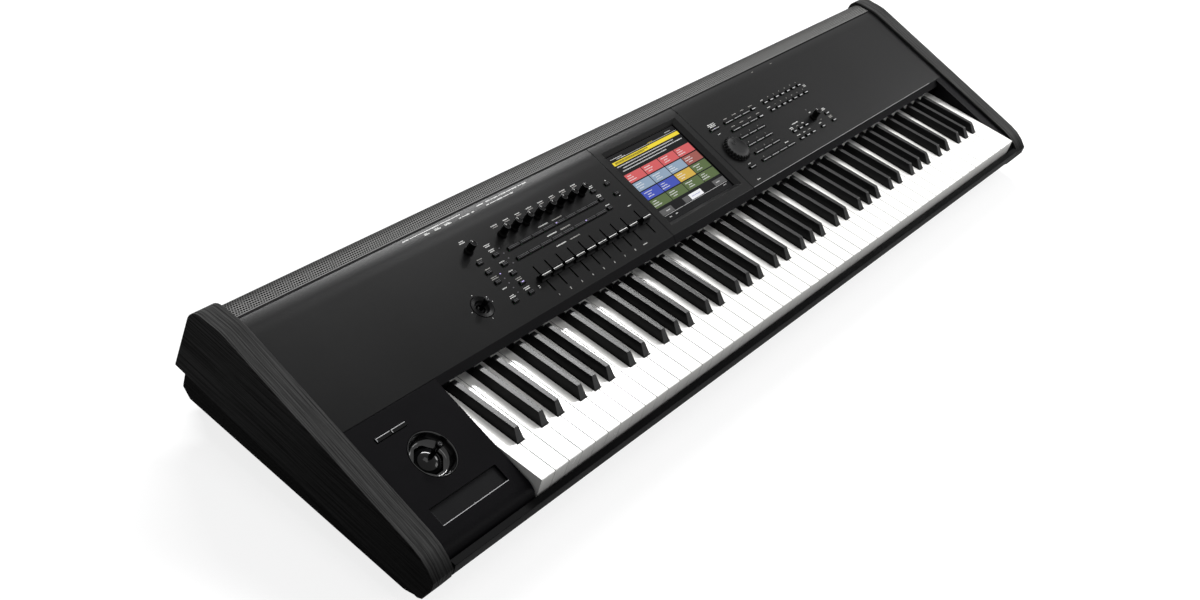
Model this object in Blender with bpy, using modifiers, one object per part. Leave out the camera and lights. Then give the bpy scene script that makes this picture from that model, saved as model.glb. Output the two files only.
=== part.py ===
"""An 88 key music workstation, built as separate pieces in metres, +Z up, at rest on the floor.

The origin is on the floor under the middle of the body. X runs along the keyboard, low notes at -X,
and Y runs from the player to the rear. Side profiles are written in two named frames: depth behind
the white key fronts and height over the white key tops. Controls are placed on the sloping panel by
x along the keyboard, up the slope from the panel's front fold, and n along the panel's normal.
"""

import math

import bmesh
import bpy
from mathutils import Matrix, Vector

MM = 0.001
GAP = 0.3 * MM

# Body
BODY_WIDTH = 1448 * MM
CHEEK_THICK = 32 * MM
NOSE_REACH = 10 * MM
KEY_TOP_HEIGHT = 75.5 * MM
PANEL_SLOPE = math.radians(13.9)
CREST_LENGTH = 50.8 * MM
CHEEK_LINE_DROP = 8.9 * MM
PANEL_SINK = 4 * MM
CREST_BEND_RADIUS = 60 * MM
REAR_TOP_RADIUS = 16 * MM
REAR_LEAN = 7.5 * MM
REAR_EDGE_DROP = 14 * MM

# Cheeks
NOSE_START = 4.1 * MM
NOSE_RADIUS = 66 * MM
NOSE_TOP_DROP = 24 * MM
NOSE_LOW_DROP = 34.5 * MM
TOE_DEPTH = 7 * MM
TOE_DROP = 51.5 * MM
SEAM_FRONT_DEPTH = 2 * MM
SEAM_FRONT_DROP = 54.4 * MM
BASE_INSET = 1.5 * MM
BASE_REAR_INSET = 14 * MM
BASE_REAR_DROP = 42.6 * MM
BASE_CHAMFER = 12.7 * MM
BASE_CHAMFER_RISE = 9.2 * MM
BASE_FRONT_DROP = 58.6 * MM
BASE_FRONT_DEPTH = 19 * MM
BASE_FRONT_RADIUS = 15 * MM
BOARD_OVERLAP = 2 * MM
CHEEK_EDGE = 1.2 * MM

# Panels
PANEL_THICK = 2 * MM
FOLD_DEPTH = 154 * MM
LIP_REACH = 7.4 * MM
LIP_DROP = 8.3 * MM
CREST_FLAT = 1.1 * MM
GRILLE_SEAM = 1.4 * MM
GRILLE_THICK = 1.6 * MM
GRILLE_LOW = 14 * MM
GRILLE_RETURN = 4.5 * MM
DISPLAY_MARGIN = 12.45 * MM
PANEL_SEAM = 0.5 * MM

# Bottom case, with the key slip folded from its front edge
CASE_THICK = 2 * MM
CASE_DROP = 62 * MM
CASE_REAR_FLANGE = 8 * MM
SLIP_SETBACK = 1.8 * MM
SLIP_TOP_DROP = 20 * MM
SLIP_FRONT = 13 * MM
SLIP_HEM = 10 * MM
CASE_TOE_DEPTH = 9 * MM
CASE_TOE_RISE = 18 * MM
CASE_TOE_FRONT = 4 * MM
FOOT_RADIUS = 19 * MM
FOOT_END_INSET = 131.7 * MM
FOOT_FRONT = 48 * MM
FOOT_REAR_INSET = 51 * MM

# Keys
KEY_PITCH = 23.5 * MM
KEY_SEAM = 0.8 * MM
HEAD_LENGTH = 48.9 * MM
NATURAL_BODY = 18 * MM
KEY_LIP = 12 * MM
KEY_LIP_DROP = 26 * MM
KEY_EDGE = 0.8 * MM
SHARP_FRONT = 49.8 * MM
SHARP_FRONT_LEAN = 10.5 * MM
SHARP_RISE = 12.2 * MM
SHARP_FALL = 1.5 * MM
SHARP_BODY = 16 * MM
SHARP_WIDTH = 11.8 * MM
SHARP_TOP_WIDTH = 7 * MM
SHARP_CAP_INSET = 5 * MM
SHARP_SIDE_GAP = 0.9 * MM
SHARP_TAIL_STEP = 1 * MM
SHARP_SHIFTS = {"C": -2.3 * MM, "D": 2.3 * MM, "F": -3.4 * MM, "G": 0 * MM, "A": 3.4 * MM}
LIVE_OCTAVE = 4
NATURAL_PIVOT_INSET = 27 * MM
NATURAL_PIVOT_DROP = 12 * MM
SHARP_PIVOT_INSET = 12 * MM
SHARP_PIVOT_DROP = 10 * MM
KEY_TAIL = 7 * MM
HINGE_RAIL = 8 * MM
FIXED_SINK = 1.2 * MM

# Keybed
BED_FRONT = 16 * MM
REAR_ROOM = 99 * MM
BED_TOP_DROP = 43 * MM
BED_THICK = 3 * MM
STOP_FRONT = 20 * MM
STOP_LENGTH = 14 * MM
STOP_DROP = 27.6 * MM
LEG_THICK = 4 * MM
LEG_DEPTHS = (60 * MM, 150 * MM)
LEG_REAR_INSET = 14 * MM

# Joystick panel and right block
JOYSTICK_PANEL_WIDTH = 138 * MM
BLOCK_WIDTH = 21.5 * MM
SIDE_SKIN = 2.5 * MM
KEY_SIDE_GAP = 1.6 * MM
SIDE_FRONT_GAP = 0.4 * MM
SIDE_FRONT_RADIUS = 20 * MM
SIDE_BOTTOM_DROP = 32 * MM
FOLD_SEAM = 1 * MM
RIBBON_LENGTH = 101.5 * MM
RIBBON_WIDTH = 21.5 * MM
RIBBON_STEP = 55.2 * MM
RIBBON_BORDER = 3 * MM
RIBBON_THICK = 1.6 * MM
JOYSTICK_SHIFT = -0.8 * MM
JOYSTICK_RISE = 12.32 * MM
SWITCH_SLOT_SHIFT = -21.3 * MM
SWITCH_SLOT_STEP = 41.6 * MM
SWITCH_SLOT_LENGTH = 45 * MM
SWITCH_SLOT_WIDTH = 5.4 * MM
SWITCH_CLEARANCE = 0.35 * MM
SWITCH_RISE = 0.9 * MM
SWITCH_DEPTH = 9 * MM
SWITCH_STROKE = 1.2 * MM

# Joysticks: radius and depth of each bowl, its ball, stick and yoke
BOWL_RIM = 27.5 * MM
DISH_RIM = 14.6 * MM
JOYSTICK_SIZES = {
    "bowl": {
        "rim": BOWL_RIM,
        "floor": 12 * MM,
        "ball": 20 * MM,
        "ball_top": 5 * MM,
        "stick": 3.2 * MM,
        "tip": 3.6 * MM,
        "stick_top": 18.5 * MM,
        "yoke": 3 * MM,
        "flange": 34 * MM,
        "lug": 3 * MM,
    },
    "dish": {
        "rim": DISH_RIM,
        "floor": 4.5 * MM,
        "ball": 7.5 * MM,
        "ball_top": 3.5 * MM,
        "stick": 1.9 * MM,
        "tip": 3.1 * MM,
        "stick_top": 14 * MM,
        "yoke": 2.2 * MM,
        "flange": 20 * MM,
        "lug": 2.4 * MM,
    },
}
BALL_CLEARANCE = 1 * MM
BOWL_WALL = 1.8 * MM
RIM_PROUD = 0.6 * MM
RIM_GAP = 0.3 * MM
TIP_EDGE = 1 * MM
DISH_X = -430.3 * MM
DISH_AT = 42.1 * MM

# Display
SCREEN_OPENING = (171.5 * MM, 129.5 * MM)
SCREEN_VIEW = (158 * MM, 118.5 * MM)
SCREEN_FRONT_MARGIN = 13.55 * MM
SCREEN_REAR_MARGIN = 7.56 * MM
SCREEN_DEPTH = 5.2 * MM
SCREEN_FRAME = 5 * MM
SCREEN_BORDER = 4 * MM
SCREEN_THICK = 3.2 * MM

# Control boards
BOARD_DEPTH = 14 * MM
BOARD_THICK = 1.8 * MM
BOARD_MARGIN = 9 * MM
POT_SIZE = 10 * MM
POT_HEIGHT = 4 * MM
POST_RADIUS = 2.5 * MM
BUTTON_PROUD = 1.7 * MM
BUTTON_CLEARANCE = 0.4 * MM

# Knobs, sliders and dial
KNOB_RADIUS = 6.2 * MM
KNOB_TOP_RADIUS = 5.4 * MM
KNOB_SKIRT = 7.1 * MM
KNOB_SKIRT_HEIGHT = 2.6 * MM
KNOB_HEIGHT = 15.5 * MM
KNOB_LIFT = 0.6 * MM
SHAFT_RADIUS = 3 * MM
SHAFT_HOLE = 4 * MM
KNOB_ROW_AT = 107.5 * MM
KNOB_ROW_X = -325 * MM
KNOB_PITCH = 22.1 * MM
KNOB_COUNT = 8
VOLUME_X = -385.5 * MM
VOLUME_AT = 107.9 * MM
TEMPO_X = 330.3 * MM
TEMPO_AT = 45.3 * MM
SLIDER_ROW_X = -325.4 * MM
SLIDER_PITCH = 22 * MM
SLIDER_COUNT = 9
VALUE_SLIDER_X = -119.8 * MM
SLOT_FRONT_AT = 15.6 * MM
SLOT_REAR_AT = 54.9 * MM
SLOT_WIDTH = 2.4 * MM
STEM_WIDTH = 1.2 * MM
STEM_LENGTH = 4 * MM
SLIDER_AT = 36.7 * MM
SLIDER_CAP = (16.5 * MM, 9.4 * MM, 8.5 * MM)
SLIDER_TAPER = 0.62
SLIDER_LIFT = 0.6 * MM
FADER_WIDTH = 7 * MM
DIAL_X = 134.3 * MM
DIAL_AT = 59.8 * MM
DIAL_RADIUS = 21.8 * MM
DIAL_HEIGHT = 9 * MM
DIAL_TAPER = 1 * MM
DIAL_LOBES = 16
DIAL_LOBE_DEPTH = 1.1 * MM
DIAL_DISH = 1.2 * MM
DIAL_RIM = 4 * MM

# Buttons: columns and rows of the panel grid
GRID_ROWS = (27 * MM, 41.5 * MM, 56 * MM, 71 * MM, 86 * MM, 101.2 * MM)
PAD_X = 170 * MM
PAD_PITCH = 22.5 * MM
PAD_SIZE = (21.9 * MM, 4.6 * MM)
BANK_X = 270.6 * MM
BANK_PITCH = 16.15 * MM
BANK_COUNT = 7
SMALL_SIZE = (9 * MM, 4.6 * MM)
WIDE_SIZE = (15 * MM, 4.6 * MM)
HALF_SIZE = (11 * MM, 4.6 * MM)
LEFT_COLUMN_X = -385.5 * MM
LEFT_COLUMN_ROWS = (28.8 * MM, 58.8 * MM, 74 * MM, 88.8 * MM)
INNER_COLUMN_X = -357 * MM
INNER_COLUMN_ROWS = (28.8 * MM, 44.2 * MM, 58.9 * MM, 73.7 * MM, 88.8 * MM)
STRIP_X = -336.2 * MM
STRIP_PITCH = 22.15 * MM
STRIP_COUNT = 8
STRIP_ROWS = (72.1 * MM, 87.6 * MM)
STRIP_SEAM = 0.5 * MM
ROW_END_X = -150.3 * MM
ROW_END_ROWS = (72.5 * MM, 87.7 * MM, 102.5 * MM)
PAGE_X = -120.3 * MM
PAGE_ROWS = (85.5 * MM, 102.9 * MM)
MODE_X = 132.6 * MM
EDIT_X = 366 * MM
RATE_X = 332.8 * MM
SEQUENCER_X = 270 * MM
SEQUENCER_PITCH = 16.7 * MM

# Rear
REAR_PANEL_INSET = 6 * MM
REAR_PANEL_THICK = 2 * MM
MAIN_BOARD_X = 60 * MM
MAIN_BOARD_LENGTH = 620 * MM
MAIN_BOARD_DEPTH = 74 * MM
MAIN_BOARD_LIFT = 6 * MM
MAIN_BOARD_THICK = 1.8 * MM
CHIP_RISE = 3 * MM
SOCKET_LENGTH = 22 * MM
PHONE_RADIUS = 5.6 * MM
PHONE_BORE = 3.3 * MM
PHONE_BORE_DEPTH = 16 * MM
PHONE_INSET = 50 * MM
PHONE_PITCH = 30 * MM
PHONE_COUNT = 8
DIN_RADIUS = 8 * MM
DIN_RECESS_RADIUS = 6.8 * MM
DIN_RECESS = 3 * MM
DIN_INSET = 320 * MM
DIN_PITCH = 26 * MM
DIN_COUNT = 3
USB_SIZE = (14.5 * MM, 7.6 * MM)
USB_PORT = (12.4 * MM, 5.2 * MM)
USB_PORT_DEPTH = 12 * MM
USB_INSET = 420 * MM
USB_PITCH = 26 * MM
USB_COUNT = 2
SOCKET_CLEARANCE = 0.35 * MM
SUPPLY_INSET = 131.7 * MM
SUPPLY_SIZE = (170 * MM, 62 * MM, 40 * MM)
INLET_SHIFT = 38 * MM
INLET_SIZE = (27 * MM, 19.5 * MM)
INLET_HOLE = (22.5 * MM, 15.5 * MM)
INLET_DEPTH = 15 * MM
BLADE_PITCH = 7 * MM
BLADE_HALF = 2 * MM
BLADE_THICK = 2 * MM
ROCKER_SHIFT = -15 * MM
ROCKER_FRAME = (21 * MM, 15 * MM)
ROCKER_HOLE = (17.6 * MM, 11.6 * MM)
ROCKER_POCKET = 8 * MM
ROCKER_CLEARANCE = 0.4 * MM
ROCKER_PROUD = 1.6 * MM
ROCKER_TIP = math.radians(6)

# Derived places
HALF_WIDTH = BODY_WIDTH / 2
INNER_HALF = HALF_WIDTH - CHEEK_THICK
FIT_HALF = INNER_HALF - GAP
PANEL_LENGTH = SCREEN_FRONT_MARGIN + SCREEN_OPENING[1] + SCREEN_REAR_MARGIN
CREST_DEPTH = FOLD_DEPTH + PANEL_LENGTH * math.cos(PANEL_SLOPE)
CREST_HEIGHT = CREST_DEPTH * math.tan(PANEL_SLOPE) - CHEEK_LINE_DROP
REAR_REACH = CREST_DEPTH + CREST_LENGTH
KEY_FRONT_Y = NOSE_REACH - (NOSE_REACH + REAR_REACH) / 2
GRILLE_DEPTH = CREST_DEPTH + CREST_BEND_RADIUS * math.tan(PANEL_SLOPE / 2) + CREST_FLAT
DISPLAY_HALF = SCREEN_OPENING[0] / 2 + DISPLAY_MARGIN
SCREEN_AT = SCREEN_FRONT_MARGIN + SCREEN_OPENING[1] / 2
FOOT_X = FIT_HALF - FOOT_END_INSET
FOOT_REAR = REAR_REACH - FOOT_REAR_INSET
KEYS_LEFT = JOYSTICK_PANEL_WIDTH + KEY_SIDE_GAP - FIT_HALF
NATURAL_COUNT = round((FIT_HALF - GAP - BLOCK_WIDTH - KEYS_LEFT) / KEY_PITCH)
KEYS_SPAN = NATURAL_COUNT * KEY_PITCH
BLOCK_LEFT = KEYS_LEFT + KEYS_SPAN + GAP
SHARP_CAP_END = FOLD_DEPTH - SHARP_CAP_INSET
BED_REAR = REAR_REACH - REAR_ROOM
NATURAL_PIVOT = BED_REAR - NATURAL_PIVOT_INSET
SHARP_PIVOT = BED_REAR - SHARP_PIVOT_INSET
JOYSTICK_X = JOYSTICK_PANEL_WIDTH / 2 + JOYSTICK_SHIFT - FIT_HALF
JOYSTICK_AT = JOYSTICK_RISE - FOLD_DEPTH / math.cos(PANEL_SLOPE) / 2
SWITCH_SLOT_X = JOYSTICK_X + SWITCH_SLOT_SHIFT
SWITCH_SLOT_AT = JOYSTICK_AT + SWITCH_SLOT_STEP
RIBBON_AT = JOYSTICK_AT - RIBBON_STEP
CASE_FLOOR_DROP = CASE_DROP - CASE_THICK
REAR_PANEL_DEPTH = REAR_REACH - PANEL_SINK - REAR_PANEL_INSET
MAIN_BOARD_LEFT = MAIN_BOARD_X - MAIN_BOARD_LENGTH / 2
SUPPLY_X = FIT_HALF - SUPPLY_INSET
INLET_X = SUPPLY_X + INLET_SHIFT
ROCKER_X = SUPPLY_X + ROCKER_SHIFT
SOFT_STEP = math.radians(13)

LOOKS = {
    "charcoal metal": ((0.022, 0.022, 0.023), 0.42, 0.35),
    "black wood": ((0.018, 0.018, 0.018), 0.5, 0.0),
    "black plastic": ((0.012, 0.012, 0.013), 0.45, 0.0),
    "gloss black": ((0.006, 0.006, 0.007), 0.08, 0.0),
    "white key": ((0.88, 0.87, 0.84), 0.28, 0.0),
    "black key": ((0.02, 0.02, 0.021), 0.35, 0.0),
    "rubber": ((0.015, 0.015, 0.015), 0.8, 0.0),
    "screen glass": ((0.01, 0.01, 0.012), 0.06, 0.0),
    "steel": ((0.45, 0.45, 0.46), 0.35, 1.0),
    "circuit board": ((0.02, 0.12, 0.05), 0.5, 0.0),
}


def clear_scene():
    for obj in list(bpy.data.objects):
        bpy.data.objects.remove(obj, do_unlink=True)


def make_collection(name):
    made = bpy.data.collections.new(name)
    bpy.context.scene.collection.children.link(made)
    return made


def make_material(name):
    colour, roughness, metallic = LOOKS[name]
    made = bpy.data.materials.new(name)
    made.use_nodes = True
    shader = made.node_tree.nodes["Principled BSDF"]
    shader.inputs["Base Color"].default_value = (*colour, 1)
    shader.inputs["Roughness"].default_value = roughness
    shader.inputs["Metallic"].default_value = metallic
    return made


clear_scene()
PARTS = make_collection("Music workstation")
CUTTERS = make_collection("Cutters")
MATERIALS = {name: make_material(name) for name in LOOKS}


# Frames
def side_point(depth, height):
    """World (y, z) of a point behind the key fronts and over the key tops."""
    return (KEY_FRONT_Y + depth, KEY_TOP_HEIGHT + height)


def panel_line(depth):
    """Height of the sloping panel over the key tops."""
    return depth * math.tan(PANEL_SLOPE) - CHEEK_LINE_DROP - PANEL_SINK


PANEL_FRAME = Matrix.Translation((0, *side_point(FOLD_DEPTH, panel_line(FOLD_DEPTH)))) @ Matrix.Rotation(
    PANEL_SLOPE, 4, "X"
)
SIDE_FRAME = Matrix(((0, 0, 1, 0), (1, 0, 0, 0), (0, 1, 0, 0), (0, 0, 0, 1)))


def on_panel(x, up, n=0.0):
    return PANEL_FRAME @ Matrix.Translation((x, up, n))


# Outlines
def rounded(points, closed=True):
    """The (u, v) outline with an arc at each corner given as (u, v, radius)."""
    made = []
    count = len(points)
    for i, point in enumerate(points):
        here = Vector(point[:2])
        radius = point[2] if len(point) > 2 else 0
        if not radius or (not closed and i in (0, count - 1)):
            made.append(tuple(here))
            continue
        back = (Vector(points[i - 1][:2]) - here).normalized()
        ahead = (Vector(points[(i + 1) % count][:2]) - here).normalized()
        half = back.angle(ahead) / 2
        turn = math.pi - 2 * half
        centre = here + (back + ahead).normalized() * radius / math.sin(half)
        start = here + back * radius / math.tan(half)
        arm = start - centre
        sign = 1 if back.cross(ahead) < 0 else -1
        steps = max(2, math.ceil(turn / SOFT_STEP))
        for step in range(steps + 1):
            angle = sign * turn * step / steps
            swing = Matrix.Rotation(angle, 2)
            made.append(tuple(centre + swing @ arm))
    return made


def in_world(points):
    """Side outline points as world (y, z), keeping each radius."""
    return [(*side_point(p[0], p[1]), *p[2:]) for p in points]


# Builders
def link(obj, look):
    PARTS.objects.link(obj)
    obj.data.materials.clear()
    obj.data.materials.append(MATERIALS[look])
    return obj


def as_cutter(obj):
    CUTTERS.objects.link(obj)
    obj.hide_render = True
    obj.display_type = "WIRE"
    return obj


def mesh_object(name, bm, frame=None):
    bmesh.ops.recalc_face_normals(bm, faces=bm.faces)
    mesh = bpy.data.meshes.new(name)
    bm.to_mesh(mesh)
    bm.free()
    obj = bpy.data.objects.new(name, mesh)
    obj.matrix_world = frame or Matrix()
    return obj


def plate(name, outline, thickness, frame=None):
    """A flat plate from a closed outline, thick along its own Z about the middle."""
    bm = bmesh.new()
    face = bm.faces.new([bm.verts.new((u, v, -thickness / 2)) for u, v in outline])
    raised = bmesh.ops.extrude_face_region(bm, geom=[face], use_keep_orig=True)["geom"]
    verts = [item for item in raised if isinstance(item, bmesh.types.BMVert)]
    bmesh.ops.translate(bm, verts=verts, vec=(0, 0, thickness))
    return mesh_object(name, bm, frame)


def side_prism(name, outline, x_low, x_high):
    """A prism along X whose section is the outline in world (y, z)."""
    frame = Matrix.Translation(((x_low + x_high) / 2, 0, 0)) @ SIDE_FRAME
    return plate(name, outline, x_high - x_low, frame)


def bent_sheet(name, path, x_low, x_high, thickness, grow):
    """A folded sheet along X. grow is -1 where the path is its outer face from front to rear."""
    bm = bmesh.new()
    low = [bm.verts.new((x_low, y, z)) for y, z in path]
    edges = [bm.edges.new(pair) for pair in zip(low, low[1:])]
    swept = bmesh.ops.extrude_edge_only(bm, edges=edges)["geom"]
    high = [item for item in swept if isinstance(item, bmesh.types.BMVert)]
    bmesh.ops.translate(bm, verts=high, vec=(x_high - x_low, 0, 0))
    for face in bm.faces:
        face.normal_update()
        edge = max(face.edges, key=lambda item: abs((item.verts[0].co - item.verts[1].co).yz.length))
        near, far = sorted((v.co for v in edge.verts), key=lambda co: rank_on(path, co))
        if face.normal.dot(Vector((1, 0, 0)).cross(far - near)) < 0:
            face.normal_flip()
    mesh = bpy.data.meshes.new(name)
    bm.to_mesh(mesh)
    bm.free()
    obj = bpy.data.objects.new(name, mesh)
    solidify = obj.modifiers.new("thickness", "SOLIDIFY")
    solidify.thickness = thickness
    solidify.offset = grow
    solidify.use_even_offset = True
    return obj


def rank_on(path, co):
    return min(range(len(path)), key=lambda i: math.hypot(path[i][0] - co.y, path[i][1] - co.z))


def turned(name, profile, steps, frame=None):
    """A solid of revolution about its own Z from a (radius, height) profile, on the axis or off it."""
    bm = bmesh.new()
    verts = [bm.verts.new((r, 0, z)) for r, z in profile]
    edges = [bm.edges.new(pair) for pair in zip(verts, verts[1:])]
    if profile[0][0] > 0:
        edges.append(bm.edges.new((verts[-1], verts[0])))
    bmesh.ops.spin(bm, geom=verts + edges, cent=(0, 0, 0), axis=(0, 0, 1), angle=math.tau, steps=steps)
    bmesh.ops.remove_doubles(bm, verts=bm.verts, dist=0.005 * MM)
    return mesh_object(name, bm, frame)


def boxes(name, spans, frame=None):
    """One mesh of separate boxes, each given as (low corner, high corner)."""
    bm = bmesh.new()
    for low, high in spans:
        low, high = Vector(low), Vector(high)
        size = high - low
        placed = Matrix.LocRotScale((low + high) / 2, None, size)
        bmesh.ops.create_cube(bm, size=1, matrix=placed)
    return mesh_object(name, bm, frame)


def rods(name, places, radius, length, steps, frame=None):
    """One mesh of separate rods along Z, each centred at a place."""
    bm = bmesh.new()
    for place in places:
        bmesh.ops.create_cone(
            bm,
            cap_ends=True,
            segments=steps,
            radius1=radius,
            radius2=radius,
            depth=length,
            matrix=Matrix.Translation(place),
        )
    return mesh_object(name, bm, frame)


def boolean(obj, other, operation):
    as_cutter(other)
    modifier = obj.modifiers.new(operation.lower(), "BOOLEAN")
    modifier.operation = operation
    modifier.solver = "EXACT"
    modifier.object = other
    return obj


def cut(obj, other):
    return boolean(obj, other, "DIFFERENCE")


def join(obj, other):
    return boolean(obj, other, "UNION")


def bevel(obj, width):
    modifier = obj.modifiers.new("edges", "BEVEL")
    modifier.width = width
    modifier.segments = 1
    modifier.limit_method = "ANGLE"
    modifier.angle_limit = math.radians(50)
    return obj


def centred(x, up, size, n_low, n_high):
    """A box span on the panel about (x, up)."""
    return (
        (x - size[0] / 2, up - size[1] / 2, n_low),
        (x + size[0] / 2, up + size[1] / 2, n_high),
    )


# Side outlines
def rear_depth(height, sink):
    """Depth of the leaning rear face at a height, sunk by sink."""
    rise = CREST_HEIGHT + REAR_EDGE_DROP
    return REAR_REACH - sink - REAR_LEAN * (height + REAR_EDGE_DROP) / rise


def board_line(depth):
    """Height of the line between a cheek's upper board and its base, which runs out at the toe."""
    return (SEAM_FRONT_DROP - REAR_EDGE_DROP) * depth / REAR_REACH - SEAM_FRONT_DROP


def cheek_outline():
    nose_rise = NOSE_START * math.tan(PANEL_SLOPE) - CHEEK_LINE_DROP
    return rounded(
        in_world(
            [
                (REAR_REACH, -REAR_EDGE_DROP),
                (rear_depth(CREST_HEIGHT, 0), CREST_HEIGHT, REAR_TOP_RADIUS),
                (CREST_DEPTH, CREST_HEIGHT, CREST_BEND_RADIUS),
                (NOSE_START, nose_rise, NOSE_RADIUS),
                (-NOSE_REACH, -NOSE_TOP_DROP),
                (-NOSE_REACH, -NOSE_LOW_DROP),
                (TOE_DEPTH - NOSE_REACH, -TOE_DROP),
                (SEAM_FRONT_DEPTH, board_line(SEAM_FRONT_DEPTH)),
            ]
        )
    )


def cheek_base_outline():
    rear = REAR_REACH - BASE_REAR_INSET
    overlap = BOARD_OVERLAP
    return rounded(
        in_world(
            [
                (rear, board_line(rear) + overlap),
                (rear, -BASE_REAR_DROP + BASE_CHAMFER_RISE),
                (rear - BASE_CHAMFER, -BASE_REAR_DROP),
                (BASE_FRONT_DEPTH, -BASE_FRONT_DROP, BASE_FRONT_RADIUS),
                (SEAM_FRONT_DEPTH, board_line(SEAM_FRONT_DEPTH)),
                (SEAM_FRONT_DEPTH, board_line(SEAM_FRONT_DEPTH) + overlap),
            ]
        )
    )


def top_path(front):
    """The panels' outer path from the given front points back to the grille seam."""
    crest = CREST_HEIGHT - PANEL_SINK
    return rounded(
        in_world(
            front
            + [
                (CREST_DEPTH, crest, CREST_BEND_RADIUS),
                (GRILLE_DEPTH, crest),
            ]
        ),
        closed=False,
    )


def panel_path():
    fold = panel_line(FOLD_DEPTH)
    return top_path([(FOLD_DEPTH - LIP_REACH, fold - LIP_DROP), (FOLD_DEPTH, fold)])


def grille_path():
    crest = CREST_HEIGHT - PANEL_SINK
    low = rear_depth(GRILLE_LOW, PANEL_SINK)
    return rounded(
        in_world(
            [
                (GRILLE_DEPTH + GRILLE_SEAM, crest),
                (rear_depth(crest, PANEL_SINK), crest, REAR_TOP_RADIUS - GAP),
                (low, GRILLE_LOW),
                (low - GRILLE_RETURN, GRILLE_LOW),
            ]
        ),
        closed=False,
    )


def case_path():
    rear = REAR_PANEL_DEPTH + CASE_THICK + GAP
    front = -NOSE_REACH
    return in_world(
        [
            (-SLIP_SETBACK, -SLIP_TOP_DROP - SLIP_HEM),
            (-SLIP_SETBACK, -SLIP_TOP_DROP),
            (front, -SLIP_TOP_DROP),
            (front, -SLIP_TOP_DROP - SLIP_FRONT),
            (-CASE_TOE_FRONT, -CASE_DROP + CASE_TOE_RISE),
            (CASE_TOE_DEPTH, -CASE_DROP),
            (rear, -CASE_DROP),
            (rear, -CASE_DROP + CASE_REAR_FLANGE),
        ]
    )


def end_wall_outline():
    """A wall at each end of the case, under the joystick panel and the right block."""
    low, top = -CASE_DROP + CASE_THICK / 2, -SIDE_BOTTOM_DROP - 2 * GAP
    front, rear = CASE_TOE_DEPTH - CASE_TOE_FRONT, REAR_PANEL_DEPTH - REAR_PANEL_THICK - GAP
    corner = (front, low + CASE_TOE_RISE / 2)
    return in_world([(CASE_TOE_DEPTH, low), (rear, low), (rear, top), (front, top), corner])


def key_side_outline(inset):
    """Section of the joystick panel and the right block, inset by a skin for the hollow inside."""
    front = SIDE_FRONT_GAP - SLIP_SETBACK + inset
    rear = FOLD_DEPTH - FOLD_SEAM
    under = inset / math.cos(PANEL_SLOPE)
    low = -SIDE_BOTTOM_DROP - inset
    back = rear - LIP_REACH - FOLD_SEAM
    top = panel_line(rear)
    outer = [
        (front, low),
        (back + inset, low),
        (back + inset, top - LIP_DROP - FOLD_SEAM),
        (rear + inset, panel_line(rear + inset) - under),
        (front, panel_line(front) - under, SIDE_FRONT_RADIUS - inset),
    ]
    return rounded(in_world(outer))


# Cheeks
def make_cheek(name, side):
    outer = side * HALF_WIDTH
    inner = side * INNER_HALF
    board = side_prism(name, cheek_outline(), min(outer, inner), max(outer, inner))
    outer_base = outer - side * BASE_INSET
    base = side_prism(name + "_base", cheek_base_outline(), min(outer_base, inner), max(outer_base, inner))
    bevel(board, CHEEK_EDGE)
    bevel(base, CHEEK_EDGE)
    return join(link(board, "black wood"), base)


# Case and feet
def make_bottom_case():
    case = bent_sheet("bottom_case", case_path(), -FIT_HALF, FIT_HALF, CASE_THICK, 1)
    link(case, "black plastic")
    overlap = CASE_THICK / 2
    height = KEY_TOP_HEIGHT - CASE_DROP + overlap
    places = [
        (side * FOOT_X, KEY_FRONT_Y + depth, height / 2)
        for side in (-1, 1)
        for depth in (FOOT_FRONT, FOOT_REAR)
    ]
    join(case, rods("feet", places, FOOT_RADIUS, height, 16))
    for name, x in (("left_end_wall", -FIT_HALF), ("right_end_wall", FIT_HALF - CASE_THICK)):
        join(case, side_prism(name, end_wall_outline(), x, x + CASE_THICK))
    return case


def make_rear_panel():
    y, low = side_point(REAR_PANEL_DEPTH, -CASE_FLOOR_DROP + GAP)
    top = KEY_TOP_HEIGHT + GRILLE_LOW - GAP
    panel = boxes("rear_panel", [((-FIT_HALF, y - REAR_PANEL_THICK, low), (FIT_HALF, y, top))])
    link(panel, "black plastic")
    through = REAR_PANEL_THICK * 2
    cut(panel, socket_rods("phone_holes", phone_places(), PHONE_RADIUS + SOCKET_CLEARANCE, through))
    cut(panel, socket_rods("din_holes", din_places(), DIN_RADIUS + SOCKET_CLEARANCE, through))
    holes = [rear_span(x, SOCKET_LOW + USB_SIZE[1] / 2, USB_SIZE, SOCKET_CLEARANCE) for x in usb_places()]
    holes.append(rear_span(INLET_X, SUPPLY_MID, INLET_SIZE, SOCKET_CLEARANCE))
    holes.append(rear_span(ROCKER_X, SUPPLY_MID, ROCKER_FRAME, SOCKET_CLEARANCE))
    return cut(panel, boxes("rear_holes", holes))


# Rear sockets
SOCKET_LOW = KEY_TOP_HEIGHT - CASE_FLOOR_DROP + MAIN_BOARD_LIFT + MAIN_BOARD_THICK / 2
SUPPLY_LOW = KEY_TOP_HEIGHT - CASE_FLOOR_DROP + GAP
SUPPLY_MID = SUPPLY_LOW + SUPPLY_SIZE[2] / 2
REAR_Y = KEY_FRONT_Y + REAR_PANEL_DEPTH
SOCKET_FACE = REAR_Y + RIM_PROUD


def phone_places():
    return [MAIN_BOARD_LEFT + PHONE_INSET + i * PHONE_PITCH for i in range(PHONE_COUNT)]


def din_places():
    return [MAIN_BOARD_LEFT + DIN_INSET + i * DIN_PITCH for i in range(DIN_COUNT)]


def usb_places():
    return [MAIN_BOARD_LEFT + USB_INSET + i * USB_PITCH for i in range(USB_COUNT)]


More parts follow.
